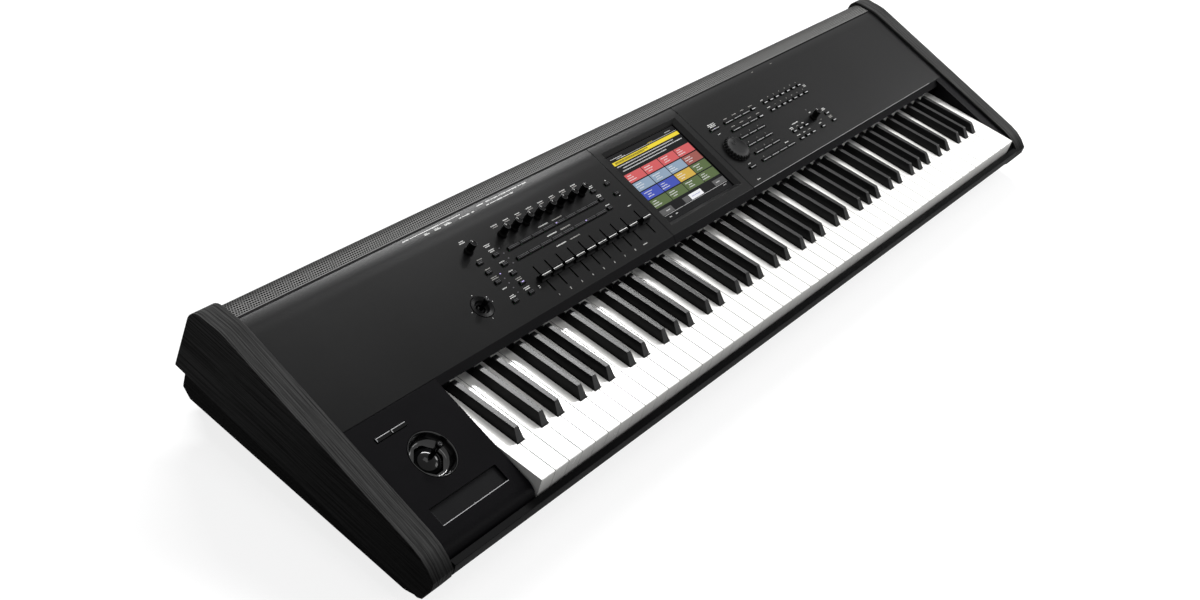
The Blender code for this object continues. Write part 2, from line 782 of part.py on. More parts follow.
def rear_span(x, z, size, grow=0.0, depth=2 * REAR_PANEL_THICK):
    """A box through the rear panel about (x, z)."""
    return (
        (x - size[0] / 2 - grow, REAR_Y - depth, z - size[1] / 2 - grow),
        (x + size[0] / 2 + grow, REAR_Y + depth, z + size[1] / 2 + grow),
    )


def socket_rods(name, places, radius, length, middle=None):
    """Rods along Y through the rear panel at the socket height."""
    middle = REAR_Y if middle is None else middle
    turn = Matrix.Rotation(math.pi / 2, 4, "X")
    bm = bmesh.new()
    for x in places:
        spot = Matrix.Translation((x, middle, SOCKET_LOW + DIN_RADIUS)) @ turn
        bmesh.ops.create_cone(
            bm, cap_ends=True, segments=12, radius1=radius, radius2=radius, depth=length, matrix=spot
        )
    return mesh_object(name, bm)


def rear_rods(name, places, radius, depth, proud):
    """Rods that end proud of the rear panel and run forward by depth."""
    return socket_rods(name, places, radius, depth + proud, REAR_Y + (proud - depth) / 2)


def make_main_board():
    """The main board with the rear sockets that it carries."""
    rear = REAR_Y - REAR_PANEL_THICK - GAP
    low = KEY_TOP_HEIGHT - CASE_FLOOR_DROP + MAIN_BOARD_LIFT
    left, right = MAIN_BOARD_LEFT, MAIN_BOARD_LEFT + MAIN_BOARD_LENGTH
    front = rear - MAIN_BOARD_DEPTH
    board = boxes("main_board", [((left, front, low), (right, rear, low + MAIN_BOARD_THICK))])
    link(board, "circuit board")
    floor = KEY_TOP_HEIGHT - CASE_FLOOR_DROP + GAP
    inset = BOARD_MARGIN
    spots = [
        (x, y, (floor + low + MAIN_BOARD_THICK / 2) / 2)
        for x in (left + inset, MAIN_BOARD_X, right - inset)
        for y in (front + inset, rear - inset * 4)
    ]
    join(board, rods("standoffs", spots, POST_RADIUS, low + MAIN_BOARD_THICK / 2 - floor, 8))
    join(board, rear_rods("phone_sockets", phone_places(), PHONE_RADIUS, SOCKET_LENGTH, RIM_PROUD))
    join(board, rear_rods("din_sockets", din_places(), DIN_RADIUS, SOCKET_LENGTH, RIM_PROUD))
    tail = rear - SOCKET_LENGTH + PHONE_BORE
    half = PHONE_BORE
    carried = [((x - half, tail, low), (x + half, rear, SOCKET_LOW + half)) for x in phone_places()]
    half, high = USB_SIZE[0] / 2, SOCKET_LOW + USB_SIZE[1]
    for x in usb_places():
        carried.append(((x - half, REAR_Y - SOCKET_LENGTH, SOCKET_LOW), (x + half, SOCKET_FACE, high)))
    chip_rear, chip_top = front + inset * 3, SOCKET_LOW + CHIP_RISE
    for x in (left + inset * 8, MAIN_BOARD_X - inset * 3, right - inset * 8):
        carried.append(((x - inset, front + inset, low), (x + inset, chip_rear, chip_top)))
    join(board, boxes("board_pieces", carried))
    cut(board, rear_rods("phone_bores", phone_places(), PHONE_BORE, PHONE_BORE_DEPTH, 2 * RIM_PROUD))
    recess = DIN_RECESS - RIM_PROUD
    cut(board, rear_rods("din_recesses", din_places(), DIN_RECESS_RADIUS, recess, 2 * RIM_PROUD))
    holes = [
        (
            (x - USB_PORT[0] / 2, REAR_Y - USB_PORT_DEPTH, SOCKET_LOW + (USB_SIZE[1] - USB_PORT[1]) / 2),
            (x + USB_PORT[0] / 2, SOCKET_FACE + RIM_PROUD, SOCKET_LOW + (USB_SIZE[1] + USB_PORT[1]) / 2),
        )
        for x in usb_places()
    ]
    return cut(board, boxes("usb_ports", holes))


def make_power_supply():
    rear = REAR_Y - REAR_PANEL_THICK - GAP
    width, depth, height = SUPPLY_SIZE
    left, right = SUPPLY_X - width / 2, SUPPLY_X + width / 2
    body = ((left, rear - depth, SUPPLY_LOW), (right, rear, SUPPLY_LOW + height))
    supply = link(boxes("power_supply", [body]), "steel")
    overlap = BOARD_OVERLAP
    frames = []
    for x, size in ((INLET_X, INLET_SIZE), (ROCKER_X, ROCKER_FRAME)):
        span = rear_span(x, SUPPLY_MID, size)
        frames.append(((span[0][0], rear - overlap, span[0][2]), (span[1][0], SOCKET_FACE, span[1][2])))
    join(supply, boxes("inlet_and_switch_frame", frames))
    inlet = rear_span(INLET_X, SUPPLY_MID, INLET_HOLE)
    pocket = rear_span(ROCKER_X, SUPPLY_MID, ROCKER_HOLE)
    reach = SOCKET_FACE + RIM_PROUD
    holes = [
        ((inlet[0][0], REAR_Y - INLET_DEPTH, inlet[0][2]), (inlet[1][0], reach, inlet[1][2])),
        ((pocket[0][0], REAR_Y - ROCKER_POCKET, pocket[0][2]), (pocket[1][0], reach, pocket[1][2])),
    ]
    cut(supply, boxes("inlet_hole", holes))
    half = BLADE_THICK / 2
    blades = [
        (
            (INLET_X + shift - half, REAR_Y - INLET_DEPTH - overlap, SUPPLY_MID - BLADE_HALF + rise),
            (INLET_X + shift + half, REAR_Y - INLET_DEPTH / 3, SUPPLY_MID + BLADE_HALF + rise),
        )
        for shift, rise in ((-BLADE_PITCH, -BLADE_HALF), (0, BLADE_HALF), (BLADE_PITCH, -BLADE_HALF))
    ]
    return join(supply, boxes("inlet_blades", blades))


def make_power_switch():
    """The rocker, whose origin is its hinge at the bottom of the switch pocket."""
    half = ROCKER_HOLE[0] / 2 - ROCKER_CLEARANCE
    reach = ROCKER_POCKET - ROCKER_CLEARANCE
    hinge = REAR_Y - ROCKER_POCKET + ROCKER_CLEARANCE
    outline = [
        (-half * 0.3, 0),
        (half * 0.3, 0),
        (half * 0.86, reach * 0.6),
        (half * 0.9, reach + ROCKER_PROUD),
        (0, reach - ROCKER_PROUD * 0.2),
        (-half * 0.9, reach + ROCKER_PROUD),
        (-half * 0.86, reach * 0.6),
    ]
    thickness = ROCKER_HOLE[1] - 2 * ROCKER_CLEARANCE
    stand = Matrix.Translation((ROCKER_X, hinge, SUPPLY_MID)) @ Matrix.Rotation(-ROCKER_TIP, 4, "Z")
    return link(plate("power_switch", outline, thickness, stand), "black plastic")


# Top
def make_top_panels():
    inner = DISPLAY_HALF + PANEL_SEAM
    left = bent_sheet("top_panel_left", panel_path(), -FIT_HALF, -inner, PANEL_THICK, -1)
    right = bent_sheet("top_panel_right", panel_path(), inner, FIT_HALF, PANEL_THICK, -1)
    link(left, "charcoal metal")
    link(right, "charcoal metal")
    through = 3 * PANEL_THICK
    grow = 2 * BUTTON_CLEARANCE
    for panel, buttons, knobs in (
        (left, left_buttons(), left_knobs()),
        (right, right_buttons(), right_knobs()),
    ):
        runs = merged(buttons)
        holes = [centred(x, up, (w + grow, d + grow), -through, through) for x, up, (w, d) in runs]
        cut(panel, boxes("button_openings", holes, PANEL_FRAME))
        spots = [(x, up, 0) for x, up in knobs]
        cut(panel, rods("shaft_holes", spots, SHAFT_HOLE, 2 * through, 12, PANEL_FRAME))
    slots = [
        ((x - SLOT_WIDTH / 2, SLOT_FRONT_AT, -through), (x + SLOT_WIDTH / 2, SLOT_REAR_AT, through))
        for x in slider_places()
    ]
    cut(left, boxes("slider_slots", slots, PANEL_FRAME))
    dish = rods("dish_hole", [(0, 0, 0)], DISH_RIM + RIM_GAP, 2 * through, 24, on_panel(DISH_X, DISH_AT))
    cut(left, dish)
    return left, right


def make_grille():
    return link(
        bent_sheet("rear_grille", grille_path(), -FIT_HALF, FIT_HALF, GRILLE_THICK, -1),
        "charcoal metal",
    )


def frustum(name, low_size, high_size, n_low, n_high, frame):
    """A block with unlike rectangles at its two ends."""
    bm = bmesh.new()
    middle = (n_low + n_high) / 2
    placed = Matrix.LocRotScale((0, 0, middle), None, (*high_size, n_high - n_low))
    bmesh.ops.create_cube(bm, size=1, matrix=placed)
    for vert in bm.verts:
        if vert.co.z < middle:
            vert.co.x *= low_size[0] / high_size[0]
            vert.co.y *= low_size[1] / high_size[1]
    return mesh_object(name, bm, frame)


def make_display():
    housing = bent_sheet("display_housing", panel_path(), -DISPLAY_HALF, DISPLAY_HALF, PANEL_THICK, -1)
    link(housing, "charcoal metal")
    frame = on_panel(0, SCREEN_AT)
    outer = [side + 2 * SCREEN_FRAME for side in SCREEN_OPENING]
    floor = SCREEN_DEPTH + MM
    join(housing, boxes("screen_frame", [centred(0, 0, outer, -floor, -PANEL_THICK / 2)], frame))
    rise = SCREEN_DEPTH / 2
    spread = [o + (o - v) * rise / SCREEN_DEPTH for o, v in zip(SCREEN_OPENING, SCREEN_VIEW)]
    cut(housing, frustum("screen_bevel", SCREEN_VIEW, spread, -SCREEN_DEPTH, rise, frame))
    cut(housing, boxes("screen_window", [centred(0, 0, SCREEN_VIEW, -2 * floor, rise)], frame))
    glass = [side + 2 * SCREEN_BORDER for side in SCREEN_VIEW]
    top = -floor - GAP
    screen = boxes("touch_screen", [centred(0, 0, glass, top - SCREEN_THICK, top)], frame)
    return housing, link(screen, "screen glass")


# Panel layout
def left_knobs():
    row = [(KNOB_ROW_X + i * KNOB_PITCH, KNOB_ROW_AT) for i in range(KNOB_COUNT)]
    return row + [(VOLUME_X, VOLUME_AT)]


def right_knobs():
    return [(DIAL_X, DIAL_AT), (TEMPO_X, TEMPO_AT)]


def slider_places():
    return [SLIDER_ROW_X + i * SLIDER_PITCH for i in range(SLIDER_COUNT)] + [VALUE_SLIDER_X]


def strip_buttons():
    """The two rows of eight joined buttons as (x, up, size)."""
    size = (STRIP_PITCH - STRIP_SEAM, SMALL_SIZE[1])
    return [
        (STRIP_X + (i + 0.5) * STRIP_PITCH, up, size) for up in STRIP_ROWS for i in range(STRIP_COUNT)
    ]


def left_buttons():
    small = [(LEFT_COLUMN_X, up) for up in LEFT_COLUMN_ROWS]
    small += [(INNER_COLUMN_X, up) for up in INNER_COLUMN_ROWS]
    small += [(ROW_END_X, up) for up in ROW_END_ROWS]
    small += [(PAGE_X, up) for up in PAGE_ROWS]
    return [(x, up, SMALL_SIZE) for x, up in small] + strip_buttons()


def pad_buttons():
    """The joined mode and number buttons, the last of the mode rows standing apart."""
    made = []
    for row, up in enumerate(GRID_ROWS):
        for column in range(3 if row else 4):
            made.append((PAD_X + column * PAD_PITCH, up, PAD_SIZE))
        if row > 3:
            made.append((PAD_X + 2.94 * PAD_PITCH, up, HALF_SIZE))
    return made


def right_buttons():
    made = pad_buttons()
    made += [(BANK_X + i * BANK_PITCH, up, SMALL_SIZE) for up in GRID_ROWS[4:] for i in range(BANK_COUNT)]
    made += [
        (SEQUENCER_X + i * SEQUENCER_PITCH, up, SMALL_SIZE) for up in GRID_ROWS[:2] for i in range(3)
    ]
    made += [(MODE_X, GRID_ROWS[5], PAD_SIZE), (MODE_X, GRID_ROWS[0], WIDE_SIZE)]
    made += [(RATE_X, GRID_ROWS[0], SMALL_SIZE), (EDIT_X, GRID_ROWS[0], SMALL_SIZE)]
    made.append((EDIT_X, GRID_ROWS[1], SMALL_SIZE))
    return made


def merged(buttons):
    """Joined buttons of one row share one opening: (x, up, size) of each run."""
    runs = []
    for x, up, (width, depth) in sorted(buttons, key=lambda item: (item[1], item[0])):
        low, high = x - width / 2, x + width / 2
        if runs and runs[-1][2] == up and low - runs[-1][1] < 3 * BUTTON_CLEARANCE:
            runs[-1][1] = high
        else:
            runs.append([low, high, up, depth])
    return [((low + high) / 2, up, (high - low, depth)) for low, high, up, depth in runs]


def make_control_board(name, buttons, knobs, sliders):
    """A circuit board under the panel with the button caps, pots and faders that it carries."""
    xs = [b[0] for b in buttons] + [k[0] for k in knobs] + sliders
    ups = [b[1] for b in buttons] + [k[1] for k in knobs]
    left, right = min(xs) - 1.5 * BOARD_MARGIN, max(xs) + 1.5 * BOARD_MARGIN
    front = min([SLOT_FRONT_AT] * bool(sliders) + [min(ups) - BOARD_MARGIN])
    rear = max(ups) + BOARD_MARGIN
    low = -BOARD_DEPTH - BOARD_THICK
    board = boxes(name, [((left, front, low), (right, rear, -BOARD_DEPTH))], PANEL_FRAME)
    link(board, "circuit board")
    root = -BOARD_DEPTH - BOARD_THICK / 2
    caps = [centred(x, up, size, root, BUTTON_PROUD) for x, up, size in buttons]
    join(board, boxes(name + "_buttons", caps, PANEL_FRAME))
    pot = (POT_SIZE, POT_SIZE)
    carried = [centred(x, up, pot, root, -BOARD_DEPTH + POT_HEIGHT) for x, up in knobs]
    middle = (SLOT_FRONT_AT + SLOT_REAR_AT) / 2
    fader = (FADER_WIDTH, SLOT_REAR_AT - SLOT_FRONT_AT + STEM_LENGTH)
    carried += [centred(x, middle, fader, root, -BOARD_DEPTH + POT_HEIGHT) for x in sliders]
    join(board, boxes(name + "_pots", carried, PANEL_FRAME))
    top = -PANEL_THICK - GAP
    inset = POST_RADIUS + MM
    corners = [(x, up) for x in (left + inset, right - inset) for up in (front + inset, rear - inset)]
    spots = [(x, up, (root + top) / 2) for x, up in corners]
    return join(board, rods(name + "_posts", spots, POST_RADIUS, top - root, 8, PANEL_FRAME))


def fluted_disc(name, frame):
    """The dial's body, with finger notches round its rim."""
    bm = bmesh.new()
    steps = 3 * DIAL_LOBES
    bmesh.ops.create_cone(
        bm,
        cap_ends=True,
        segments=steps,
        radius1=DIAL_RADIUS,
        radius2=DIAL_RADIUS - DIAL_TAPER,
        depth=DIAL_HEIGHT - KNOB_LIFT,
        matrix=Matrix.Translation((0, 0, (DIAL_HEIGHT + KNOB_LIFT) / 2)),
    )
    for vert in bm.verts:
        reach = vert.co.xy.length
        index = round(math.atan2(vert.co.y, vert.co.x) * steps / math.tau - 0.5)
        if index % 3 == 0:
            vert.co.xy *= 1 - DIAL_LOBE_DEPTH / reach
    return mesh_object(name, bm, frame)


def make_knob(name, x, up):
    """A knob that turns on its shaft. Its origin is on the shaft where it meets the panel."""
    frame = on_panel(x, up)
    foot = -BOARD_DEPTH + POT_HEIGHT + GAP
    profile = [
        (0, foot),
        (SHAFT_RADIUS, foot),
        (SHAFT_RADIUS, KNOB_LIFT),
        (KNOB_SKIRT, KNOB_LIFT),
        (KNOB_RADIUS, KNOB_LIFT + KNOB_SKIRT_HEIGHT),
        (KNOB_TOP_RADIUS, KNOB_HEIGHT - MM),
        (KNOB_TOP_RADIUS - MM, KNOB_HEIGHT),
        (0, KNOB_HEIGHT),
    ]
    return link(turned(name, profile, 12, frame), "rubber")


def make_dial():
    frame = on_panel(DIAL_X, DIAL_AT)
    dial = link(fluted_disc("data_dial", frame), "rubber")
    foot = -BOARD_DEPTH + POT_HEIGHT + GAP
    length = KNOB_LIFT + MM - foot
    join(dial, rods("dial_shaft", [(0, 0, foot + length / 2)], SHAFT_RADIUS, length, 12, frame))
    hollow = DIAL_RADIUS - DIAL_RIM
    depth = 2 * DIAL_DISH
    spot = [(0, 0, DIAL_HEIGHT)]
    return cut(dial, rods("dial_dish", spot, hollow, depth, 24, frame))


def make_slider(name, x):
    """A slider cap with its stem. Its origin is on the slot's line at the cap."""
    frame = on_panel(x, SLIDER_AT)
    width, depth, height = SLIDER_CAP
    bm = bmesh.new()
    middle = SLIDER_LIFT + height / 2
    bmesh.ops.create_cube(bm, size=1, matrix=Matrix.LocRotScale((0, 0, middle), None, SLIDER_CAP))
    for vert in bm.verts:
        if vert.co.z > middle:
            vert.co.y *= SLIDER_TAPER
    cap = link(mesh_object(name, bm, frame), "black plastic")
    foot = -BOARD_DEPTH + POT_HEIGHT + GAP
    stem = centred(0, 0, (STEM_WIDTH, STEM_LENGTH), foot, SLIDER_LIFT + MM)
    return join(cap, boxes(name + "_stem", [stem], frame))


# Joysticks
def ball_centre(size):
    return -size["ball_top"] - size["ball"]


def make_joystick(prefix, kind, bowl_name, x, up):
    """A bowl, a yoke that tips about the slope line and a stick that tips about X."""
    size = JOYSTICK_SIZES[kind]
    frame = on_panel(x, up)
    middle = ball_centre(size)
    level = middle + size["floor"] + BOWL_WALL
    opening = math.sqrt(size["ball"] ** 2 - level**2) + BALL_CLEARANCE
    under = -PANEL_THICK - GAP - (SIDE_SKIN - PANEL_THICK) * (kind == "bowl")
    rim, floor, flange = size["rim"], size["floor"], size["flange"]
    outline = [
        (opening, -floor),
        (rim * 0.86, -floor * 0.72),
        (rim - BOWL_WALL, RIM_PROUD),
        (rim, RIM_PROUD),
        (rim, under),
        (flange, under),
        (flange, under - BOWL_WALL),
        (rim, under - BOWL_WALL),
        (rim * 0.9, -floor * 0.72 - BOWL_WALL),
        (opening, -floor - BOWL_WALL),
    ]
    bowl = link(turned(bowl_name, outline, 24, frame), "gloss black")
    ring_inner = size["ball"] + 2 * BALL_CLEARANCE
    ring_outer = ring_inner + size["yoke"]
    lug_inner = ring_outer + 3 * MM + GAP
    half = size["yoke"]
    lug = size["lug"]
    lugs = [
        (
            (-half, side * (lug_inner + lug / 2) - lug / 2, middle - half),
            (half, side * (lug_inner + lug / 2) + lug / 2, under - BOWL_WALL / 2),
        )
        for side in (-1, 1)
    ]
    join(bowl, boxes(bowl_name + "_lugs", lugs, frame))

    pivot = frame @ Matrix.Translation((0, 0, middle))
    half_ring = size["yoke"] * 0.8
    ring = [
        (ring_inner, -half_ring),
        (ring_outer, -half_ring),
        (ring_outer, half_ring),
        (ring_inner, half_ring),
    ]
    yoke = link(turned(prefix + "_yoke", ring, 20, pivot), "black plastic")
    inside = ring_outer - size["yoke"] / 2
    outside = lug_inner - GAP
    thick = half_ring * 0.7
    reach = (outside - inside) / 2
    pins = [
        ((-thick, side * (inside + reach) - reach, -thick), (thick, side * (inside + reach) + reach, thick))
        for side in (-1, 1)
    ]
    join(yoke, boxes(prefix + "_yoke_pins", pins, pivot))

    radius = size["ball"]
    tip = size["stick_top"] - middle
    stem = size["stick"]
    turns = arc_angles(math.pi / 2, math.asin(stem / radius), 4)
    dome = [(radius * math.sin(turn), radius * math.cos(turn)) for turn in turns]
    profile = [(0, -half_ring), (radius, -half_ring)] + dome
    crown = size["tip"]
    profile += [(stem, tip - 3 * crown / 2), (crown, tip - crown), (crown, tip - TIP_EDGE)]
    profile += [(crown - TIP_EDGE, tip), (0, tip)]
    stick = link(turned(prefix + "_stick", profile, 16, pivot), "gloss black")
    reach = math.sqrt(ring_inner**2 - thick**2) - GAP
    shaft = boxes(prefix + "_stick_pins", [((-reach, -thick, -thick), (reach, thick, thick))], pivot)
    join(stick, shaft)
    return bowl, yoke, stick


def arc_angles(start, end, steps):
    return [start + (end - start) * i / steps for i in range(steps + 1)]


# Joystick panel and right block
def key_side_block(name, x_low, x_high, look):
    """A hollow cover beside the keys, open below and at the rear."""
    block = side_prism(name, key_side_outline(0), x_low, x_high)
    link(block, look)
    low, high = x_low + SIDE_SKIN, x_high - SIDE_SKIN
    return cut(block, side_prism(name + "_hollow", key_side_outline(SIDE_SKIN), low, high))


def make_joystick_panel():
    right = KEYS_LEFT - KEY_SIDE_GAP
    panel = key_side_block("joystick_panel", -FIT_HALF, right, "black plastic")
    pocket = -SWITCH_DEPTH - SWITCH_STROKE - GAP
    walls = (SWITCH_SLOT_LENGTH + 2 * SIDE_SKIN, SWITCH_SLOT_WIDTH + 2 * SIDE_SKIN)
    housing = centred(SWITCH_SLOT_X, SWITCH_SLOT_AT, walls, pocket - SIDE_SKIN, -SIDE_SKIN / 2)
    join(panel, boxes("switch_pocket", [housing], PANEL_FRAME))
    through = 3 * SIDE_SKIN
    spot = on_panel(JOYSTICK_X, JOYSTICK_AT)
    cut(panel, rods("bowl_hole", [(0, 0, 0)], BOWL_RIM + RIM_GAP, 2 * through, 24, spot))
    slots = [
        centred(SWITCH_SLOT_X, SWITCH_SLOT_AT, (SWITCH_SLOT_LENGTH, SWITCH_SLOT_WIDTH), pocket, through),
        centred(JOYSTICK_X, RIBBON_AT, (RIBBON_LENGTH, RIBBON_WIDTH), -through, through),
    ]
    return cut(panel, boxes("ribbon_and_switch_openings", slots, PANEL_FRAME))


def make_ribbon():
    size = (RIBBON_LENGTH + 2 * RIBBON_BORDER, RIBBON_WIDTH + RIBBON_BORDER)
    top = -SIDE_SKIN - GAP
    span = centred(JOYSTICK_X, RIBBON_AT, size, top - RIBBON_THICK, top)
    return link(boxes("ribbon_controller", [span], PANEL_FRAME), "black plastic")


def make_switch(name, side):
    """One of the two push switches. Its origin is at the middle of its cap on the panel."""
    length = (SWITCH_SLOT_LENGTH - 3 * SWITCH_CLEARANCE) / 2
    x = SWITCH_SLOT_X + side * (length + SWITCH_CLEARANCE) / 2
    frame = on_panel(x, SWITCH_SLOT_AT)
    width = SWITCH_SLOT_WIDTH - 2 * SWITCH_CLEARANCE
    cap = boxes(name, [centred(0, 0, (length, width), -SWITCH_DEPTH, SWITCH_RISE)], frame)
    return link(cap, "black plastic")


def make_right_block():
    return key_side_block("right_key_block", BLOCK_LEFT, FIT_HALF, "charcoal metal")


# Keys
def sharp_list():
    """Every sharp as (name, x of its middle), each about the seam between its two naturals."""
    made = []
    for seam in range(1, NATURAL_COUNT):
        note, octave = "CDEFGAB"[(seam + 4) % 7], (seam + 4) // 7
        if note in SHARP_SHIFTS:
            made.append((f"{note}{octave}", KEYS_LEFT + seam * KEY_PITCH + SHARP_SHIFTS[note]))
    return made


def live_naturals():
    first = 2 + 7 * (LIVE_OCTAVE - 1)
    return [(f"key_{note}{LIVE_OCTAVE}", first + i) for i, note in enumerate("CDEFGAB")]


def natural_outline(fixed):
    """Side of a natural. A fixed one is deeper, so that it sinks into the rail that carries it."""
    rear = NATURAL_PIVOT + KEY_TAIL
    low = -NATURAL_BODY - (FIXED_SINK if fixed else 0)
    face = [(0, -KEY_LIP_DROP), (0, -KEY_EDGE), (KEY_EDGE, 0), (rear, 0)]
    return in_world(face + [(rear, low), (KEY_LIP, low), (KEY_LIP, -KEY_LIP_DROP)])


def sharp_slots(x_low, x_high):
    """Spans that clear the sharps out of the naturals between two x values."""
    half = SHARP_WIDTH / 2 + SHARP_SIDE_GAP
    front = KEY_FRONT_Y + HEAD_LENGTH
    rear = KEY_FRONT_Y + NATURAL_PIVOT + 2 * KEY_TAIL
    low, high = KEY_TOP_HEIGHT - 2 * NATURAL_BODY, KEY_TOP_HEIGHT + NATURAL_BODY
    return [
        ((x - half, front, low), (x + half, rear, high))
        for _, x in sharp_list()
        if x_low - half < x < x_high + half
    ]


def make_natural(name, index):
    """A natural key that hinges at its rear. Its origin is on the hinge line."""
    left = KEYS_LEFT + index * KEY_PITCH + KEY_SEAM / 2
    right = left + KEY_PITCH - KEY_SEAM
    key = side_prism(name, natural_outline(False), left, right)
    link(key, "white key")
    return cut(key, boxes(name + "_slots", sharp_slots(left, right)))


def natural_run(name, first, last):
    """A run of natural keys from index first up to last, parted by seams and sharp slots."""
    left = KEYS_LEFT + first * KEY_PITCH + KEY_SEAM / 2
    right = KEYS_LEFT + last * KEY_PITCH - KEY_SEAM / 2
    run = side_prism(name, natural_outline(True), left, right)
    tall = 2 * KEY_LIP_DROP
    front, rear = KEY_FRONT_Y - KEY_LIP, KEY_FRONT_Y + NATURAL_PIVOT + 3 * KEY_TAIL
    middles = [KEYS_LEFT + i * KEY_PITCH for i in range(first + 1, last)]
    seams = [
        (
            (x - KEY_SEAM / 2, front, KEY_TOP_HEIGHT - tall),
            (x + KEY_SEAM / 2, rear, KEY_TOP_HEIGHT + tall),
        )
        for x in middles
    ]
    cut(run, boxes(name + "_seams", seams))
    return cut(run, boxes(name + "_slots", sharp_slots(left, right)))


def keybed_outline():
    top, base = -BED_TOP_DROP, -BED_TOP_DROP - BED_THICK
    floor = -CASE_FLOOR_DROP + GAP
    rail_front = NATURAL_PIVOT - HINGE_RAIL / 2
    rail_top = -NATURAL_BODY - GAP
    upper = [
        (BED_REAR, top),
        (rail_front + HINGE_RAIL, top),
        (rail_front + HINGE_RAIL, rail_top),
        (rail_front, rail_top),
        (rail_front, top),
        (STOP_FRONT + STOP_LENGTH, top),
        (STOP_FRONT + STOP_LENGTH, -STOP_DROP),
        (STOP_FRONT, -STOP_DROP),
        (STOP_FRONT, top),
        (BED_FRONT, top),
        (BED_FRONT, base),
    ]
    lower = []
    for depth in (*LEG_DEPTHS, BED_REAR - LEG_REAR_INSET):
        lower += [(depth, base), (depth, floor), (depth + LEG_THICK, floor), (depth + LEG_THICK, base)]
    return in_world(upper + lower + [(BED_REAR, base)])


def make_keybed():
    """The keybed with the natural keys that stay still in this model fused to its hinge rail."""
    bed = side_prism("keybed_with_natural_keys", keybed_outline(), KEYS_LEFT, KEYS_LEFT + KEYS_SPAN)
    link(bed, "white key")
    live = [index for _, index in live_naturals()]
    join(bed, natural_run("low_naturals", 0, live[0]))
    return join(bed, natural_run("high_naturals", live[-1] + 1, NATURAL_COUNT))


def sharp_outline(fixed):
    rear = SHARP_PIVOT + KEY_TAIL
    low = -SHARP_BODY - (FIXED_SINK if fixed else 0)
    return in_world(
        [
            (SHARP_FRONT, low),
            (SHARP_FRONT, 0),
            (SHARP_FRONT + SHARP_FRONT_LEAN, SHARP_RISE),
            (SHARP_CAP_END, SHARP_RISE - SHARP_FALL),
            (SHARP_CAP_END, -SHARP_TAIL_STEP),
            (rear, -SHARP_TAIL_STEP),
            (rear, low),
        ]
    )


def make_sharp(name, x, fixed=False):
    """A sharp key, narrower at its top. Its origin is on the hinge line."""
    key = side_prism(name, sharp_outline(fixed), x - SHARP_WIDTH / 2, x + SHARP_WIDTH / 2)
    bm = bmesh.new()
    bm.from_mesh(key.data)
    whole = bm.verts[:] + bm.edges[:] + bm.faces[:]
    bmesh.ops.bisect_plane(bm, geom=whole, plane_co=(0, KEY_TOP_HEIGHT, 0), plane_no=(0, 1, 0))
    lean = (1 - SHARP_TOP_WIDTH / SHARP_WIDTH) / SHARP_RISE
    for vert in bm.verts:
        vert.co.z *= 1 - lean * max(0, vert.co.y - KEY_TOP_HEIGHT)
    bm.to_mesh(key.data)
    bm.free()
    return key


def make_sharp_rail():
    """The rear hinge rail with the sharp keys that stay still in this model fused to it."""
    front = SHARP_PIVOT - HINGE_RAIL / 2
    rail = in_world(
        [
            (front, -BED_TOP_DROP + GAP),
            (front, -SHARP_BODY - GAP),
            (front + HINGE_RAIL, -SHARP_BODY - GAP),
            (front + HINGE_RAIL, -BED_TOP_DROP + GAP),
        ]
    )
    obj = side_prism("hinge_rail_with_sharp_keys", rail, KEYS_LEFT, KEYS_LEFT + KEYS_SPAN)
    link(obj, "black key")
    bm = bmesh.new()
    for note, x in sharp_list():
        if note.endswith(str(LIVE_OCTAVE)):
            continue
        key = make_sharp("fixed_" + note, x, fixed=True)
        mesh = key.data
        mesh.transform(key.matrix_world)
        bm.from_mesh(mesh)
        bpy.data.objects.remove(key, do_unlink=True)
    return join(obj, mesh_object("fixed_sharps", bm))


def set_origin(obj, place):
    """Moves an object's origin without moving its shape."""
    mesh = obj.data
    mesh.transform(obj.matrix_world)
    mesh.transform(Matrix.Translation(-Vector(place)))
    obj.matrix_world = Matrix.Translation(place)


def make_live_keys():
    for name, index in live_naturals():
        key = make_natural(name, index)
        y, z = side_point(NATURAL_PIVOT, -NATURAL_PIVOT_DROP)
        set_origin(key, (KEYS_LEFT + (index + 0.5) * KEY_PITCH, y, z))
    for note, x in sharp_list():
        if not note.endswith(str(LIVE_OCTAVE)):
            continue
        key = link(make_sharp(f"key_{note[0]}sharp{LIVE_OCTAVE}", x), "black key")
        y, z = side_point(SHARP_PIVOT, -SHARP_PIVOT_DROP)
        set_origin(key, (x, y, z))


def finish_shading():
    for obj in PARTS.objects:
        for polygon in obj.data.polygons:
            polygon.use_smooth = True
        if hasattr(obj.data, "set_sharp_from_angle"):
            obj.data.set_sharp_from_angle(angle=math.radians(35))


make_cheek("cheek_left", -1)
make_cheek("cheek_right", 1)
make_bottom_case()
make_rear_panel()
make_main_board()
make_power_supply()
make_power_switch()
make_top_panels()
make_grille()
make_display()
make_control_board("left_control_board", left_buttons(), left_knobs(), slider_places())
make_control_board("right_control_board", right_buttons(), right_knobs(), [])
for i, (x, up) in enumerate(left_knobs()[:-1]):
    make_knob(f"control_knob_{i + 1}", x, up)
make_knob("volume_knob", VOLUME_X, VOLUME_AT)
make_knob("tempo_knob", TEMPO_X, TEMPO_AT)
make_dial()
for i, x in enumerate(slider_places()[:-2]):
    make_slider(f"control_slider_{i + 1}", x)
make_slider("master_slider", slider_places()[-2])
make_slider("value_slider", slider_places()[-1])
make_joystick_panel()
make_ribbon()
make_switch("joystick_switch_1", -1)
make_switch("joystick_switch_2", 1)
make_joystick("joystick", "bowl", "joystick_bowl", JOYSTICK_X, JOYSTICK_AT)
make_joystick("vector_joystick", "dish", "vector_joystick_dish", DISH_X, DISH_AT)
make_right_block()
make_keybed()
make_sharp_rail()
make_live_keys()
finish_shading()
